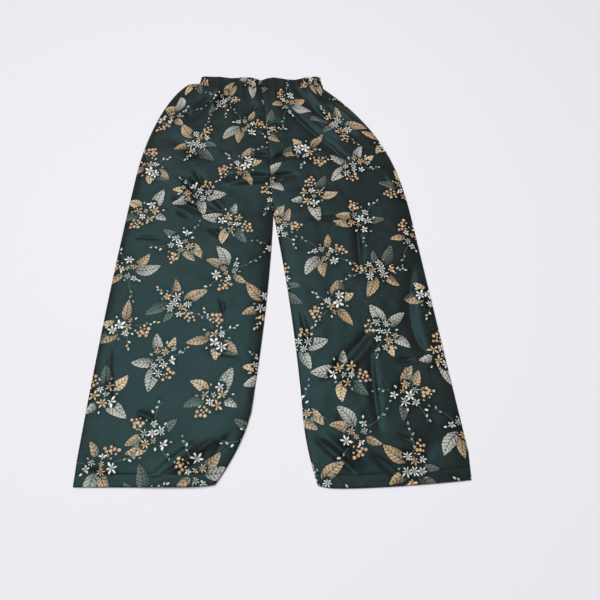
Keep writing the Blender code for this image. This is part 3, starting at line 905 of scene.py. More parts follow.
def printed_shapes(lay, low, high):
    """Every shape that can reach a panel, in the panel's own millimetres."""
    lean = grain_lean(lay.side)
    across = polar(1.0, lean)
    along = polar(1.0, lean + 90)
    placed = []
    for column_number in COLUMN_NUMBERS:
        for row_number in ROW_NUMBERS:
            number = 3 * column_number + 2 * row_number
            turn = lean + GOLDEN_ANGLE * number
            up = ROW_STEP * (row_number + 0.5 * (column_number % 2)) + lay.shift
            middle = column_number * COLUMN_STEP * across + up * along + polar(ASIDE, 2 * turn)
            if np.any(middle < low - BOUQUET_REACH) or np.any(middle > high + BOUQUET_REACH):
                continue
            ahead = polar(1.0, turn)
            aside = polar(1.0, turn + 90)
            for shape in BOUQUETS[number % BOUQUET_COUNT]:
                x, y = middle + shape.x * ahead + shape.y * aside
                way = shape.ahead_x * ahead + shape.ahead_y * aside
                placed.append(shape._replace(x=x, y=y, ahead_x=way[0], ahead_y=way[1]))
    return placed


print("one bouquet to every", round(COLUMN_STEP * ROW_STEP / 100), "cm2")
print("lean of the print:", {side: round(float(grain_lean(side)), 1) for side in SIDES})


# %% Inside and outside of a shape
def leaf_profile(t):
    """Half width of a leaf along it, as a share of its greatest: 2.62 * t^0.55 * (1 - t)^0.9."""
    return 2.62 * t**0.55 * (1.0 - t) ** 0.9


def within_shape(shape, x, y):
    """Place inside a shape: u along it and v across it, as shares of its length and half width."""
    along, aside = from_line(x, y, (shape.x, shape.y), (shape.ahead_x, shape.ahead_y))
    u = along / shape.length
    return u, (aside - bow_of(shape.bow, np.clip(u, 0.0, 1.0))) / shape.half_width


def shape_distance(shape, x, y):
    """How far a point lies outside a shape, in millimetres, and below zero inside it."""
    u, v = within_shape(shape, x, y)
    if shape.kind in ("leaf", "stem"):
        t = np.clip(u, 0.0, 1.0)
        reach = leaf_profile(t) if shape.kind == "leaf" else 1.0
        beside = (np.abs(v) - reach) * shape.half_width
        past_end = np.abs(u - t) * shape.length
        return np.where(past_end > 0, np.hypot(np.maximum(beside, 0.0), past_end), beside)
    return (np.hypot(u, v) - 1) * min(shape.length, shape.half_width)


print("greatest half width of a leaf:", round(leaf_profile(np.linspace(0.0, 1.0, 101)).max(), 2))

# %% [markdown]
# ## Printing the cloth
#
# Each face of the cloth is given to one shape: the topmost one that covers its middle, or else the
# nearest one close by. Every corner of the face then stores where it lies within that shape, and
# the material works out the exact outline from that. The alternative, one huge material with a
# node for each leaf, would be hundreds of times slower to render.

# %% Which shape each face shows
COVERS = 0.25
NEAR = 2.4
FAR = 1e6
LAYER_RANK = 1000.0
SEEDS = 7
HALO_WIDTH = 4.2
LEAF_HALO_LESS = 2.0


def owners(shapes, x, y):
    """The number of the shape that each point shows, or -1, and its distance to any shape. A shape
    that covers the point ranks by its layer, and one close by ranks by its distance."""
    best = np.full(x.shape, FAR)
    owner = np.full(x.shape, -1)
    nearest = np.full(x.shape, FAR)
    for number, shape in enumerate(shapes):
        distance = shape_distance(shape, x, y)
        rank = np.where(distance < COVERS, distance - LAYER_RANK * (1 + shape.layer), distance)
        wins = (rank < best) & (distance < NEAR)
        best = np.where(wins, rank, best)
        owner = np.where(wins, number, owner)
        less = LEAF_HALO_LESS if shape.kind in ("leaf", "stem") else 0.0
        nearest = np.minimum(nearest, distance + less)
    return owner, nearest


def print_values(shapes, x, y):
    """For faces given by the x and y of their four corners: place, form and ink at each corner."""
    owner, _ = owners(shapes, x.mean(axis=1), y.mean(axis=1))
    number = np.maximum(owner, 0)
    shown = Shape(*[column(shapes, name)[number][:, None] if name in MEASURES else None
                    for name in Shape._fields])
    u, v = within_shape(shown, x, y)
    kind = np.array([KINDS[shape.kind] for shape in shapes])[number]
    kind = np.where(owner < 0, 0, kind)[:, None]
    same = np.ones_like(x)
    place = np.stack([u, v, (number % SEEDS)[:, None] / SEEDS * same], axis=-1)
    form = np.stack([kind * same, shown.count * same, shown.shade * same], axis=-1)
    ink = np.array([shape.ink for shape in shapes])[number]
    ink = np.repeat(np.concatenate([ink, np.ones((len(ink), 1))], axis=1)[:, None], 4, axis=1)
    return place, form, ink


print("a face takes a shape within", NEAR, "mm")

# %% [markdown]
# ## Making a shell of cloth
#
# A shell needs an outer surface, an inner one and a rim. The inner surface sits one thickness
# behind the outer one along its normals, so that the cloth is as thick on a slope as on the flat.
# It has half as many points each way, because nobody sees it, and the rim's five-sided faces join
# two outer edges to one inner edge.


# %% Shells of cloth
def unit(vectors):
    """Vectors made 1 long."""
    return vectors / np.linalg.norm(vectors, axis=-1, keepdims=True)


def surface_normals(points):
    """Unit normals of a grid, from the cross product of its two directions."""
    return unit(np.cross(np.gradient(points, axis=0), np.gradient(points, axis=1)))


def rim_order(rows, columns):
    """Row and column numbers once round a grid's border."""
    down = [(i, 0) for i in range(rows - 1)]
    across = [(rows - 1, j) for j in range(columns - 1)]
    up = [(i, columns - 1) for i in range(rows - 1, 0, -1)]
    back = [(0, j) for j in range(columns - 1, 0, -1)]
    return np.array(down + across + up + back)


def grid_faces(number):
    """Four-sided faces between the neighbours of a grid of point numbers."""
    near, far = number[:-1], number[1:]
    return np.stack([near[:, :-1], far[:, :-1], far[:, 1:], near[:, 1:]], axis=-1).reshape(-1, 4)


def facing_out(points, faces):
    """Lists of faces that close a solid, all turned round if its volume comes out below zero. Six
    times the volume is the sum of a . (b x c) + a . (c x d) over the faces a b c d."""
    volume = 0.0
    for part in faces:
        a, b, c, d = (points[part[:, k]] for k in range(4))
        volume += np.einsum("ij,ij->", a, np.cross(b, c) + np.cross(c, d))
    return [part[:, ::-1] for part in faces] if volume < 0 else faces


def shell(points, outward):
    """Points and faces of a closed shell of thickness CLOTH. outward is +1 where the outer
    surface looks up and -1 where it looks down. Outer faces come first."""
    normal = surface_normals(points)
    turned = np.sign(normal[..., 2].sum()) * outward
    inner = (points - CLOTH * turned * normal)[::2, ::2]
    outer_number = np.arange(points[..., 0].size).reshape(points.shape[:2])
    inner_number = outer_number.size + np.arange(inner[..., 0].size).reshape(inner.shape[:2])
    border = rim_order(*outer_number.shape)
    fine = outer_number[border[:, 0], border[:, 1]]
    border = rim_order(*inner_number.shape)
    coarse = inner_number[border[:, 0], border[:, 1]]
    ahead = np.roll(fine, -2)[::2]
    rim = np.stack([ahead, np.roll(fine, -1)[::2], fine[::2], coarse, np.roll(coarse, -1)], axis=-1)
    outer_faces = grid_faces(outer_number)
    inner_faces = grid_faces(inner_number)[:, ::-1]
    if turned < 0:
        outer_faces, inner_faces, rim = outer_faces[:, ::-1], inner_faces[:, ::-1], rim[:, ::-1]
    return np.concatenate([points.reshape(-1, 3), inner.reshape(-1, 3)]), [outer_faces, inner_faces, rim]


print("shell thickness, mm:", CLOTH)

# %% Mesh objects and the print on them
SHARP_ANGLE = 60.0
FIELD_NAMES = {"FLOAT": "value", "FLOAT_VECTOR": "vector", "FLOAT_COLOR": "color"}


def cloth_object(name, points, faces, materials, material_of):
    """A mesh object from points in millimetres and lists of faces, one material for each list."""
    mesh = bpy.data.meshes.new(name)
    mesh.vertices.add(len(points))
    mesh.vertices.foreach_set("co", (points * MM).astype(np.float32).ravel())
    corners = np.concatenate([part.ravel() for part in faces])
    sides = np.concatenate([np.full(len(part), part.shape[1]) for part in faces])
    mesh.loops.add(len(corners))
    mesh.loops.foreach_set("vertex_index", corners.astype(np.int32))
    mesh.polygons.add(len(sides))
    mesh.polygons.foreach_set("loop_start", (np.cumsum(sides) - sides).astype(np.int32))
    slots = np.concatenate([np.full(len(part), slot) for part, slot in zip(faces, material_of)])
    mesh.polygons.foreach_set("material_index", slots.astype(np.int32))
    for material in materials:
        mesh.materials.append(material)
    mesh.update(calc_edges=True)
    mesh.shade_smooth()
    mesh.set_sharp_from_angle(angle=np.radians(SHARP_ANGLE))
    return add_object(name, mesh)


def store(mesh, name, kind, domain, values):
    """Writes an attribute, such as the place in the print, to a mesh."""
    layer = mesh.attributes.new(name, kind, domain)
    layer.data.foreach_set(FIELD_NAMES[kind], np.ascontiguousarray(values, dtype=np.float32).ravel())


def print_cloth(piece, points, printed_faces, lays):
    """Prints the first faces of a mesh. lays pairs a choice of those faces with the name of the
    lay of the print on them. The halo is stored at points: 1 inside a shape, fading outside it."""
    corners = len(piece.data.loops)
    place = np.zeros((corners, 3))
    form = np.zeros((corners, 3))
    ink = np.ones((corners, 4))
    halo = np.zeros(len(points))
    x = before_gathering(points[:, 0], points[:, 1])
    y = points[:, 1]
    flat = np.stack([x, y])
    for chosen, lay_name in lays:
        shapes = printed_shapes(LAYS[lay_name], flat.min(axis=1), flat.max(axis=1))
        corner_points = printed_faces[chosen]
        values = print_values(shapes, x[corner_points], y[corner_points])
        loops = (4 * np.flatnonzero(chosen)[:, None] + np.arange(4)).ravel()
        for target, value in zip((place, form, ink), values):
            target[loops] = value.reshape(len(loops), -1)
        used = np.unique(corner_points)
        _, nearest = owners(shapes, x[used], y[used])
        halo[used] = np.exp(-((np.maximum(nearest, 0.0) / HALO_WIDTH) ** 2))
    store(piece.data, "print_place", "FLOAT_VECTOR", "CORNER", place)
    store(piece.data, "print_form", "FLOAT_VECTOR", "CORNER", form)
    store(piece.data, "print_ink", "FLOAT_COLOR", "CORNER", ink)
    store(piece.data, "print_halo", "FLOAT", "POINT", halo)


print("sharp edges bend by more than", SHARP_ANGLE, "degrees")

# %% [markdown]
# ## Printed satin
#
# The material reads the place, form and ink that each corner stores and draws the shape there. To
# keep that readable, a small class lets the formulas be written as sums and products: each one
# adds a Math node.


# %% Formulas as nodes
class Field:
    """One number at every point of a surface, worked out by a material's nodes."""

    def __init__(self, tree, socket):
        self.tree = tree
        self.socket = socket

    def math(self, operation, *others):
        """Adds a Math node. The others are fields or plain numbers."""
        node = self.tree.nodes.new("ShaderNodeMath")
        node.operation = operation
        for place, value in zip(node.inputs, (self, *others)):
            if isinstance(value, Field):
                self.tree.links.new(value.socket, place)
            else:
                place.default_value = value
        return Field(self.tree, node.outputs[0])

    __add__ = __radd__ = partialmethod(math, "ADD")
    __sub__ = partialmethod(math, "SUBTRACT")
    __mul__ = __rmul__ = partialmethod(math, "MULTIPLY")
    __truediv__ = partialmethod(math, "DIVIDE")
    __pow__ = partialmethod(math, "POWER")
    __abs__ = partialmethod(math, "ABSOLUTE")

    def __rsub__(self, other):
        return self * -1.0 + other

    def between(self, low, high):
        """0 below low and 1 above high, with a smooth step between."""
        node = self.tree.nodes.new("ShaderNodeMapRange")
        node.interpolation_type = "SMOOTHSTEP"
        self.tree.links.new(self.socket, node.inputs["Value"])
        node.inputs["From Min"].default_value = low
        node.inputs["From Max"].default_value = high
        return Field(self.tree, node.outputs[0])


def attribute(tree, name, output="Vector"):
    """What the mesh stores under a name."""
    node = tree.nodes.new("ShaderNodeAttribute")
    node.attribute_name = name
    return node.outputs[output]


def parts(tree, socket):
    """The three numbers of a vector."""
    node = tree.nodes.new("ShaderNodeSeparateXYZ")
    tree.links.new(socket, node.inputs[0])
    return [Field(tree, out) for out in node.outputs]


def noise(tree, coordinates, scale, detail, stretch=None):
    """Blender's noise texture on given coordinates, as a field from 0 to 1."""
    if stretch:
        mapping = tree.nodes.new("ShaderNodeMapping")
        mapping.inputs["Scale"].default_value = stretch
        tree.links.new(coordinates, mapping.inputs["Vector"])
        coordinates = mapping.outputs[0]
    node = tree.nodes.new("ShaderNodeTexNoise")
    node.inputs["Scale"].default_value = scale
    node.inputs["Detail"].default_value = detail
    tree.links.new(coordinates, node.inputs["Vector"])
    return Field(tree, node.outputs["Fac"])


def scaled(tree, socket, amount):
    """A colour times a field."""
    node = tree.nodes.new("ShaderNodeVectorMath")
    node.operation = "SCALE"
    tree.links.new(socket, node.inputs[0])
    tree.links.new(amount.socket, node.inputs["Scale"])
    return node.outputs[0]


def mixed(tree, amount, under, over):
    """Two colours mixed by a field. Each is a socket or a colour."""
    node = tree.nodes.new("ShaderNodeMix")
    node.data_type = "RGBA"
    tree.links.new(amount.socket, node.inputs["Factor"])
    for name, value in (("A", under), ("B", over)):
        place = next(i for i in node.inputs if i.name == name and i.type == "RGBA")
        if isinstance(value, bpy.types.NodeSocket):
            tree.links.new(value, place)
        else:
            place.default_value = rgba(value)
    return next(o for o in node.outputs if o.type == "RGBA")


# %% [markdown]
# Each shape has its own formula for what it covers and how light its ink is there. Petals and
# berries are lighter where they bulge, and leaves have a dark midrib and slanting veins, with a
# bright rim that the printer leaves round them.


# %% How each printed shape is drawn
FULL_TURN = 2 * np.pi
SOFT_EDGE = 0.07
VEIN_SLANT = 0.2
TOOTH = 0.07
# A leaf's tone, as shares of its ink: plain, added up to the next vein, taken off at a vein, and
# added at the rim. Its midrib and its shaded side lose a share of that.
LEAF_PLAIN = 0.5
LEAF_BAND = 0.6
VEIN_DEPTH = 0.48
RIM_LIGHT = 0.3
MIDRIB_DEPTH = 0.7
SHADE_DEPTH = 0.7
# Where a ball of ink is lightest, off its middle, and how much darker it gets.
BALL_LIGHT = 0.35
BALL_TONE = 1.12
BALL_DEPTH = 0.82
BUD_POINT = 0.35
BUD_CREASE_DEPTH = 0.34
# Petals differ in direction and in reach by chance.
PETAL_PLUMPNESS = 5.4
PETAL_TURN = 0.32
PETAL_LEAST_REACH = 0.6
PETAL_MORE_REACH = 0.46
HEART_DEPTH = 0.35


def draw_leaf(u, v, count, shade, seed):
    """Covered where |v| is under the profile, less a saw-tooth. Each tooth is the end of a band
    that is dark at its vein and lightens up to the next: count * (u - slant * |v|), less its
    whole part."""
    along = u.math("MAXIMUM", 0.0).math("MINIMUM", 1.0)
    aside = abs(v)
    band = (count * (along - VEIN_SLANT * aside) + seed).math("FRACT")
    edge = leaf_profile(along) * (1.0 - TOOTH * band) - aside
    cover = edge.between(0.0, SOFT_EDGE) * u.between(-0.01, 0.01) * (1.0 - u.between(0.985, 1.0))
    vein = 1.0 - band.between(0.04, 0.3)
    midrib = 1.0 - (aside - 0.06 * (1.0 - along)).between(0.0, 0.1)
    rim = 1.0 - edge.between(0.05, 0.16)
    side = (v * shade).between(0.0, 0.5) * abs(shade).math("MINIMUM", 1.0)
    tone = LEAF_PLAIN + LEAF_BAND * band - VEIN_DEPTH * vein + RIM_LIGHT * rim
    tone = tone * (1.0 - MIDRIB_DEPTH * midrib) * (1.0 - SHADE_DEPTH * side) * (0.9 + 0.2 * seed)
    return cover, tone * (0.42 + 0.62 * u.between(-0.1, 0.6))


def draw_round(u, v):
    """A ball of ink: light at one side, behind its middle, and dark towards the far rim."""
    radius = (u * u + v * v).math("SQRT")
    cover = 1.0 - radius.between(0.8, 1.0)
    along = u + BALL_LIGHT
    aside = v - BALL_LIGHT
    away = (along * along + aside * aside).between(0.05, 1.6)
    return cover, BALL_TONE - BALL_DEPTH * away


def draw_bud(u, v):
    """An oval drawn to a point, with a fold line along it."""
    point = 1.0 - BUD_POINT * u
    radius = (u * u + (v / point) * (v / point)).math("SQRT")
    cover = 1.0 - radius.between(0.84, 1.0)
    crease = 1.0 - abs(v - 0.12).between(0.05, 0.28)
    tone = 1.04 - BUD_CREASE_DEPTH * crease * u.between(-0.8, 0.2)
    return cover, tone * (0.62 + 0.38 * u.between(-0.9, 0.1))


def petal_chance(petal, seed):
    """A number from 0 to 1 for each petal that looks random: what follows the point of a sine."""
    return ((petal * 12.99 + seed * 39.3).math("SINE") * 43.7).math("FRACT")


def draw_flower(u, v, count, fullness, seed):
    """A ring of petals: the angle is folded into one petal's share, and a petal is a lens whose
    half width is fullness * PETAL_PLUMPNESS / count * r * (1 - r^2)."""
    radius = (u * u + v * v).math("SQRT")
    turn = v.math("ARCTAN2", u) * count * (1 / FULL_TURN) + 100.0
    petal = turn.math("FLOOR").math("MODULO", count)
    chance = petal_chance(petal, seed)
    angle = (turn.math("FRACT") - (0.5 + PETAL_TURN / 2) + PETAL_TURN * chance) * FULL_TURN / count
    reach = PETAL_LEAST_REACH + PETAL_MORE_REACH * chance
    along = radius * angle.math("COSINE") / reach
    aside = abs(radius * angle.math("SINE")) / reach
    lens = along * (1.0 - along * along).math("MAXIMUM", 0.0)
    edge = fullness * PETAL_PLUMPNESS * lens / count - aside
    heart = 1.0 - radius.between(0.1, 0.22)
    cover = edge.between(0.0, SOFT_EDGE).math("MAXIMUM", heart)
    tone = (0.62 + 0.46 * along.between(0.1, 0.6)) * (0.84 + 0.24 * chance)
    return cover, tone * (1.0 - HEART_DEPTH * heart)


print("kinds of shape:", sorted(KINDS))

# %% [markdown]
# The ground is dyed dark teal, a little darker round the bouquets, where the printer's outline
# spreads. Satin has long smooth yarn floats, so it is shinier than plain cloth and has a soft
# sheen at grazing angles. The floats are far too fine to model, and go into the bump.

# %% Satin values
GROUND = srgb(37, 42, 42)
GROUND_DARK = srgb(17, 20, 19)
GROUND_LEAST = 0.33
HALO_STRENGTH = 0.7
INK_LEAST = 0.62
INK_COVER = 0.97
WRONG_SIDE = srgb(40, 52, 52)
WRONG_SIDE_SHADES = (0.85, 1.15)
SATIN = {
    "Roughness": 0.33,
    "Specular IOR Level": 0.2,
    "Specular Tint": rgba(srgb(112, 180, 184)),
    "Sheen Weight": 0.03,
    "Sheen Roughness": 0.45,
    "Sheen Tint": rgba(srgb(150, 176, 172)),
}
SATIN_BACK = SATIN | {"Roughness": 0.7, "Sheen Weight": 0.1}
BUMP_STRENGTH = 0.6
FLOAT_HEIGHT = 0.00003
FLOATS_PER_METRE = (4000.0, 700.0, 1500.0)
# Uneven textures. The scale is in patches per metre, and the strength is what each one adds.
Mottle = namedtuple("Mottle", "scale detail strength")
RUMPLE = Mottle(38.0, 3.0, 0.0011)
WOBBLE_ALONG = Mottle(230.0, 1.0, 0.12)
WOBBLE_ACROSS = Mottle(310.0, 1.0, 0.2)
INK_GRAIN = Mottle(420.0, 3.0, 0.76)
GROUND_CLOUDS = Mottle(17.0, 4.0, 0.75)
GROUND_SPECKS = Mottle(380.0, 2.0, 0.55)
WRONG_SIDE_CLOUDS = Mottle(60.0, 3.0, 1.0)


def object_coordinates(tree):
    """Where each point lies on its own object, in metres."""
    return tree.nodes.new("ShaderNodeTexCoord").outputs["Object"]


def mottled(tree, where, mottle):
    """The noise of one of the uneven textures, before its strength."""
    return noise(tree, where, mottle.scale, mottle.detail)


def satin_bump(tree, shader, where):
    """Yarn floats, 0.25 mm wide and 1.4 mm long, over soft pressed-in wrinkles."""
    floats = noise(tree, where, 1.0, 1.0, stretch=FLOATS_PER_METRE)
    height = floats * FLOAT_HEIGHT + mottled(tree, where, RUMPLE) * RUMPLE.strength
    bump = tree.nodes.new("ShaderNodeBump")
    bump.inputs["Strength"].default_value = BUMP_STRENGTH
    bump.inputs["Distance"].default_value = 1.0
    tree.links.new(height.socket, bump.inputs["Height"])
    tree.links.new(bump.outputs["Normal"], shader.inputs["Normal"])


print("roughness of the right and wrong side:", SATIN["Roughness"], SATIN_BACK["Roughness"])


# %% The right and the wrong side
def printed_satin():
    """The right side: the shape that a point belongs to, or else the mottled ground."""
    material, tree, shader = new_material("printed_satin", SATIN)
    where = object_coordinates(tree)
    u, v, seed = parts(tree, attribute(tree, "print_place"))
    u = u + (mottled(tree, where, WOBBLE_ALONG) - 0.5) * WOBBLE_ALONG.strength
    v = v + (mottled(tree, where, WOBBLE_ACROSS) - 0.5) * WOBBLE_ACROSS.strength
    kind, count, shade = parts(tree, attribute(tree, "print_form"))
    drawn = {
        "leaf": draw_leaf(u, v, count.math("MAXIMUM", 1.0), shade, seed),
        "bud": draw_bud(u, v),
        "berry": draw_round(u, v),
        "flower": draw_flower(u, v, count.math("MAXIMUM", 1.0), shade, seed),
        "stem": (1.0 - abs(v).between(0.6, 1.0), 0.9 + 0.0 * u),
    }
    cover = 0.0
    tone = 0.0
    for name, (shape_cover, shape_tone) in drawn.items():
        chosen = kind.math("COMPARE", float(KINDS[name]), 0.5)
        cover = chosen * shape_cover + cover
        tone = chosen * shape_tone + tone
    tone = tone * (INK_LEAST + INK_GRAIN.strength * mottled(tree, where, INK_GRAIN))
    printed = scaled(tree, attribute(tree, "print_ink", "Color"), tone)
    halo = Field(tree, attribute(tree, "print_halo", "Fac"))
    ground = mixed(tree, halo * HALO_STRENGTH, GROUND, GROUND_DARK)
    clouds = GROUND_CLOUDS.strength * mottled(tree, where, GROUND_CLOUDS)
    specks = GROUND_SPECKS.strength * mottled(tree, where, GROUND_SPECKS)
    ground = scaled(tree, ground, GROUND_LEAST + clouds + specks)
    tree.links.new(mixed(tree, cover * INK_COVER, ground, printed), shader.inputs["Base Color"])
    satin_bump(tree, shader, where)
    return material


def wrong_side_satin():
    """The wrong side, which is duller and has no print."""
    material, tree, shader = new_material("satin_wrong_side", SATIN_BACK)
    where = object_coordinates(tree)
    dark, light = (WRONG_SIDE * shade for shade in WRONG_SIDE_SHADES)
    clouds = mottled(tree, where, WRONG_SIDE_CLOUDS)
    tree.links.new(mixed(tree, clouds, dark, light), shader.inputs["Base Color"])
    satin_bump(tree, shader, where)
    return material


PRINTED = printed_satin()
UNPRINTED = wrong_side_satin()
print("printed satin uses", len(PRINTED.node_tree.nodes), "nodes")

# %% [markdown]
# ## Front and back panels
#
# Four panels make the trousers. They are cut from the same printed cloth, so they share one
# material, and only the lay of the print differs.


# %% Cut, print and place the panels
def dress(piece, node):
    """Puts a piece on the garment's one body, in the place of a solid."""
    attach(piece, "root")
    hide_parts(node)


for side in SIDES:
    for layer, grid, outward in (("front", front_points[side], 1), ("back", back_points[side], -1)):
        name = f"{layer}_{side}"
        points, faces = shell(grid, outward)
        piece = cloth_object(name + "_cloth", points, faces, [PRINTED, UNPRINTED], [0, 1, 1])
        everywhere = np.ones(len(faces[0]), bool)
        print_cloth(piece, points, faces[0], [(everywhere, name)])
        dress(piece, name)
        print(name, "faces:", len(piece.data.polygons))

# %% [markdown]
# ## Waist casing
#
# The top of the trousers is folded over wide elastic and stitched down. It is a flattened ring:
# the front wall ripples over the elastic, the back wall lies flat, and both ends are round. One
# profile goes up the outside, over the fold and down the inside.

# %% The casing ring
CASING_WALL = 1.7
CASING_ACROSS = 250
CASING_ALONG = 16
CASING_TUCK = 0.6
CASING_FOLD = 0.8
CASING_LEFT_TOP = -190.0
CASING_LEFT_BOTTOM = -194.0
CASING_RIGHT_TOP = 99.0
CASING_RIGHT_BOTTOM = 102.0
CASING_MIDDLE = 2.15


def casing_ring(inset, front, back, up):
    """A loop round the ring at each height in up: over the front from left to right and back
    under it. Near both ends front and back close in on the middle along a circle."""
    left = CASING_LEFT_BOTTOM + (CASING_LEFT_TOP - CASING_LEFT_BOTTOM) * up
    right = CASING_RIGHT_BOTTOM + (CASING_RIGHT_TOP - CASING_RIGHT_BOTTOM) * up
    share = crowded_shares(CASING_ACROSS, CASING_MIDDLE / (CASING_RIGHT_TOP - CASING_LEFT_TOP))[None, :]
    x = left + inset + (right - left - 2 * inset) * share
    y = casing_edge("bottom", x)
    y = y + np.clip(up, 0.0, 1.0) * (casing_edge("top", x) - y) + CASING_FOLD * np.maximum(up - 1.0, 0.0)
    end = np.minimum(x - left, right - x) - inset
    round_end = quarter_turn(end, CASING_MIDDLE)
    lift = front_lift(x, y, end, y - HEM_Y) - CASING_TUCK
    over = CASING_MIDDLE + (front + lift - CASING_MIDDLE) * round_end
    under = CASING_MIDDLE + (back - CASING_MIDDLE) * round_end
    rows = [np.concatenate([there, back_again[:, -2:0:-1]], axis=1)
            for there, back_again in ((x, x), (y, y), (over, under))]
    return np.stack(rows, axis=-1)


up = np.linspace(0.0, 1.0, CASING_ALONG + 1)[:, None]
rings = []
for depth, heights in ((0.0, up), (0.5, np.array([[2.0]])), (1.0, up[::-1])):
    inset = depth * CASING_WALL
    rings.append(casing_ring(inset, (2 - depth) * CASING_WALL + SEAM_GAP, inset, heights))
rings = np.concatenate(rings)
points = rings.reshape(-1, 3)
number = np.arange(len(points)).reshape(rings.shape[:2])
number = np.pad(number, ((0, 1), (0, 1)), mode="wrap")
faces = facing_out(points, [grid_faces(number)])[0]
print("casing faces:", len(faces))

# %% Print and place the casing
middle = points[faces].mean(axis=1)
on_front = middle[:, 2] > CASING_MIDDLE
left_half = middle[:, 0] < seam_edge("left", middle[:, 1])
lays = [
    (on_front & left_half, "front_left"),
    (on_front & ~left_half, "front_right"),
    (~on_front & left_half, "back_left"),
    (~on_front & ~left_half, "back_right"),
]
casing = cloth_object("waistband_cloth", points, [faces], [PRINTED], [0])
print_cloth(casing, points, faces, lays)
dress(casing, "waistband")
print("casing printed in", len(lays), "parts")

# %% [markdown]
# ## The corner folded under
#
# The inner corner of the left hem is turned under the leg. Both layers of the leg go with it, so
# two thicknesses lie there with a groove between them at the edge. Only its edge and its
# underside ever show.

# %% The folded corner
CORNER_START = 0.14
CORNER_ALONG = 60
CORNER_ACROSS = 40
EdgePoint = namedtuple("EdgePoint", "inset height")
EDGE_PROFILE = (
    EdgePoint(0.9, 0.0),
    EdgePoint(0.3, 0.25),
    EdgePoint(0.0, 0.65),
    EdgePoint(0.3, 1.1),
    EdgePoint(0.9, 1.3),
    EdgePoint(0.3, 1.5),
    EdgePoint(0.0, 1.95),
    EdgePoint(0.3, 2.35),
    EdgePoint(0.9, CORNER_THICKNESS),
)
along = np.linspace(CORNER_START, 1.0, CORNER_ALONG + 1)[:, None]
across = np.linspace(0.0, 1.0, CORNER_ACROSS + 1)[None, :]
fold_y = CORNER_TOP[1] + along * (HEM_Y + hem_rise("left", 1.0) - CORNER_TOP[1])
fold_x = seam_edge("left", fold_y) - 0.5 * SEAM_GAP
free_x = CORNER_TOP[0] + along * (CORNER_TIP[0] - CORNER_TOP[0])
free_y = CORNER_TOP[1] + along * (CORNER_TIP[1] - CORNER_TOP[1])
flap_x = (1 - across) * fold_x + across * free_x
flap_y = (1 - across) * fold_y + across * free_y
flat = np.stack([flap_x, flap_y, np.zeros_like(flap_x)], axis=-1)
border = tuple(rim_order(*flap_x.shape).T)
ring = flat[border]
inwards = unit(ring.mean(axis=0) - ring)
loops = [ring + point.inset * inwards + [0.0, 0.0, point.height] for point in EDGE_PROFILE]
flat[border] = loops[0]
under = flat.reshape(-1, 3)
points = np.concatenate([under, under + [0.0, 0.0, CORNER_THICKNESS], *loops[1:-1]])
print("corner points:", len(points))

# %% Join, print and place the folded corner
number = np.arange(len(under)).reshape(flap_x.shape)
start = number[border][None]
between = 2 * len(under) + np.arange(len(ring) * (len(loops) - 2)).reshape(-1, len(ring))
number_round = np.concatenate([start, between, start + len(under)])
number_round = np.pad(number_round, ((0, 0), (0, 1)), mode="wrap")
faces = [grid_faces(number), grid_faces(number + len(under))[:, ::-1], grid_faces(number_round)]
faces = facing_out(points, faces)
corner = cloth_object("left_corner_tuck_cloth", points, faces, [PRINTED, UNPRINTED], [0, 1, 0])
print_cloth(corner, points, faces[0], [(np.ones(len(faces[0]), bool), "back_right")])
dress(corner, "left_corner_tuck")
print("corner faces:", len(corner.data.polygons))

# %% [markdown]
# ## Stitching
#
# One row of lockstitch holds each turned-up hem, 20 mm above its edge, and one holds the casing
# down. A stitch is a tiny spindle of thread, pressed into the cloth. The rows are made as one mesh
# each by placing copies of the spindle along the line.

# %% Thread and stitches
STITCH_PITCH = 3.0
STITCH_LENGTH = 2.3
THREAD_RADIUS = 0.22
THREAD_SINK = 0.05
THREAD_ROUGHNESS = 0.55
THREAD_DARK = srgb(30, 40, 40)
THREAD_LIGHT = srgb(58, 74, 73)
THREAD_GRAIN = 2600.0
SPINDLE_SIDES = 6
SPINDLE_PLACES = np.array([0.02, 0.3, 0.7, 0.98])
SPINDLE_SWELL = np.array([0.25, 1.0, 1.0, 0.25])


def thread_material():
    """Sewing thread, mottled by its twist."""
    material, tree, shader = new_material("teal_thread", {"Roughness": THREAD_ROUGHNESS})
    ply = noise(tree, object_coordinates(tree), THREAD_GRAIN, 1.0)
    tree.links.new(mixed(tree, ply, THREAD_DARK, THREAD_LIGHT), shader.inputs["Base Color"])
    return material


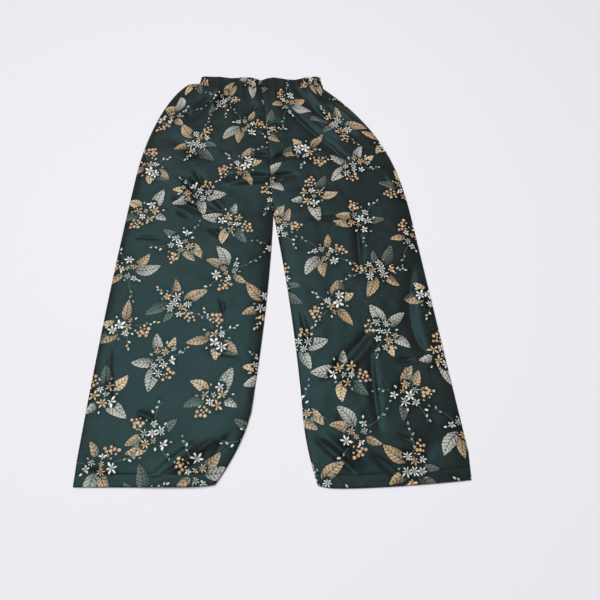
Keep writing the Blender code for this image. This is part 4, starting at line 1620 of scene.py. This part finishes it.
def stitch_row(name, path):
    """Spindles along a path of points: rings round a short axis, small at both of its ends."""
    gaps = np.linalg.norm(np.diff(path, axis=0), axis=1)
    reach = np.concatenate([[0.0], np.cumsum(gaps)])
    places = np.arange(STITCH_PITCH, reach[-1] - STITCH_PITCH, STITCH_PITCH)
    start, end = (
        np.stack([np.interp(places + way * STITCH_LENGTH, reach, path[:, k]) for k in range(3)], axis=-1)
        for way in (-0.5, 0.5)
    )
    ahead = unit(end - start)
    side = unit(np.cross(ahead, [0.0, 0.0, 1.0]))
    raised = np.cross(side, ahead)
    radius = THREAD_RADIUS * SPINDLE_SWELL
    angle = np.linspace(0.0, FULL_TURN, SPINDLE_SIDES, endpoint=False)
    centre = start[:, None] + (end - start)[:, None] * SPINDLE_PLACES[:, None]
    spoke = side[:, None] * np.cos(angle)[:, None] + raised[:, None] * np.sin(angle)[:, None]
    points = centre[:, :, None] + spoke[:, None] * radius[:, None, None] - [0.0, 0.0, THREAD_SINK]
    number = np.arange(points[..., 0].size).reshape(points.shape[:3])
    right = np.roll(number, -1, axis=2)
    tube = np.stack([number[:, :-1], right[:, :-1], right[:, 1:], number[:, 1:]], axis=-1).reshape(-1, 4)
    caps = np.concatenate([number[:, 0, ::-1], number[:, -1]])
    piece = cloth_object(name, points.reshape(-1, 3), [tube, caps], [THREAD], [0, 0])
    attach(piece, "root")
    print(name, len(places), "stitches")
    return piece


THREAD = thread_material()
print("stitches to 10 cm:", round(100 / STITCH_PITCH))

# %% Sew the hems and the casing
HEM_ROW_ENDS = (0.012, 0.988)
HEM_ROW_POINTS = 400
CASING_ROW_INSET = 4.0
CASING_ROW_RISE = 2.0
CASING_ROW_POINTS = 600
for side in SIDES:
    share = np.linspace(*HEM_ROW_ENDS, HEM_ROW_POINTS)
    hem = hem_rise(side, share)
    y = HEM_Y + HEM_DEPTH + hem
    x = (1 - share) * outer_edge(side, y) + share * seam_edge(side, y)
    z = front_height(side, x, y, np.full_like(x, HEM_DEPTH))
    stitch_row(f"hem_stitches_{side}", np.stack([x, y, z], axis=-1))
row_ends = (CASING_LEFT_BOTTOM + CASING_ROW_INSET, CASING_RIGHT_BOTTOM - CASING_ROW_INSET)
x = np.linspace(*row_ends, CASING_ROW_POINTS)
y = casing_edge("bottom", x) + CASING_ROW_RISE
edge = np.minimum(x - CASING_LEFT_BOTTOM, CASING_RIGHT_BOTTOM - x)
z = 2 * CASING_WALL + SEAM_GAP + front_lift(x, y, edge, y - HEM_Y) - CASING_TUCK
stitch_row("casing_stitches", np.stack([x, y, z], axis=-1))

# %% [markdown]
# ## What the cloth was cut to
#
# Each panel was cut flat before it was sewn. Only the form of a row is set out here; a row would
# give a piece's size with the hem turning and seam allowances, and the area of the shaped piece.

Cut = namedtuple("Cut", "piece width length area held rests_on with_pieces")
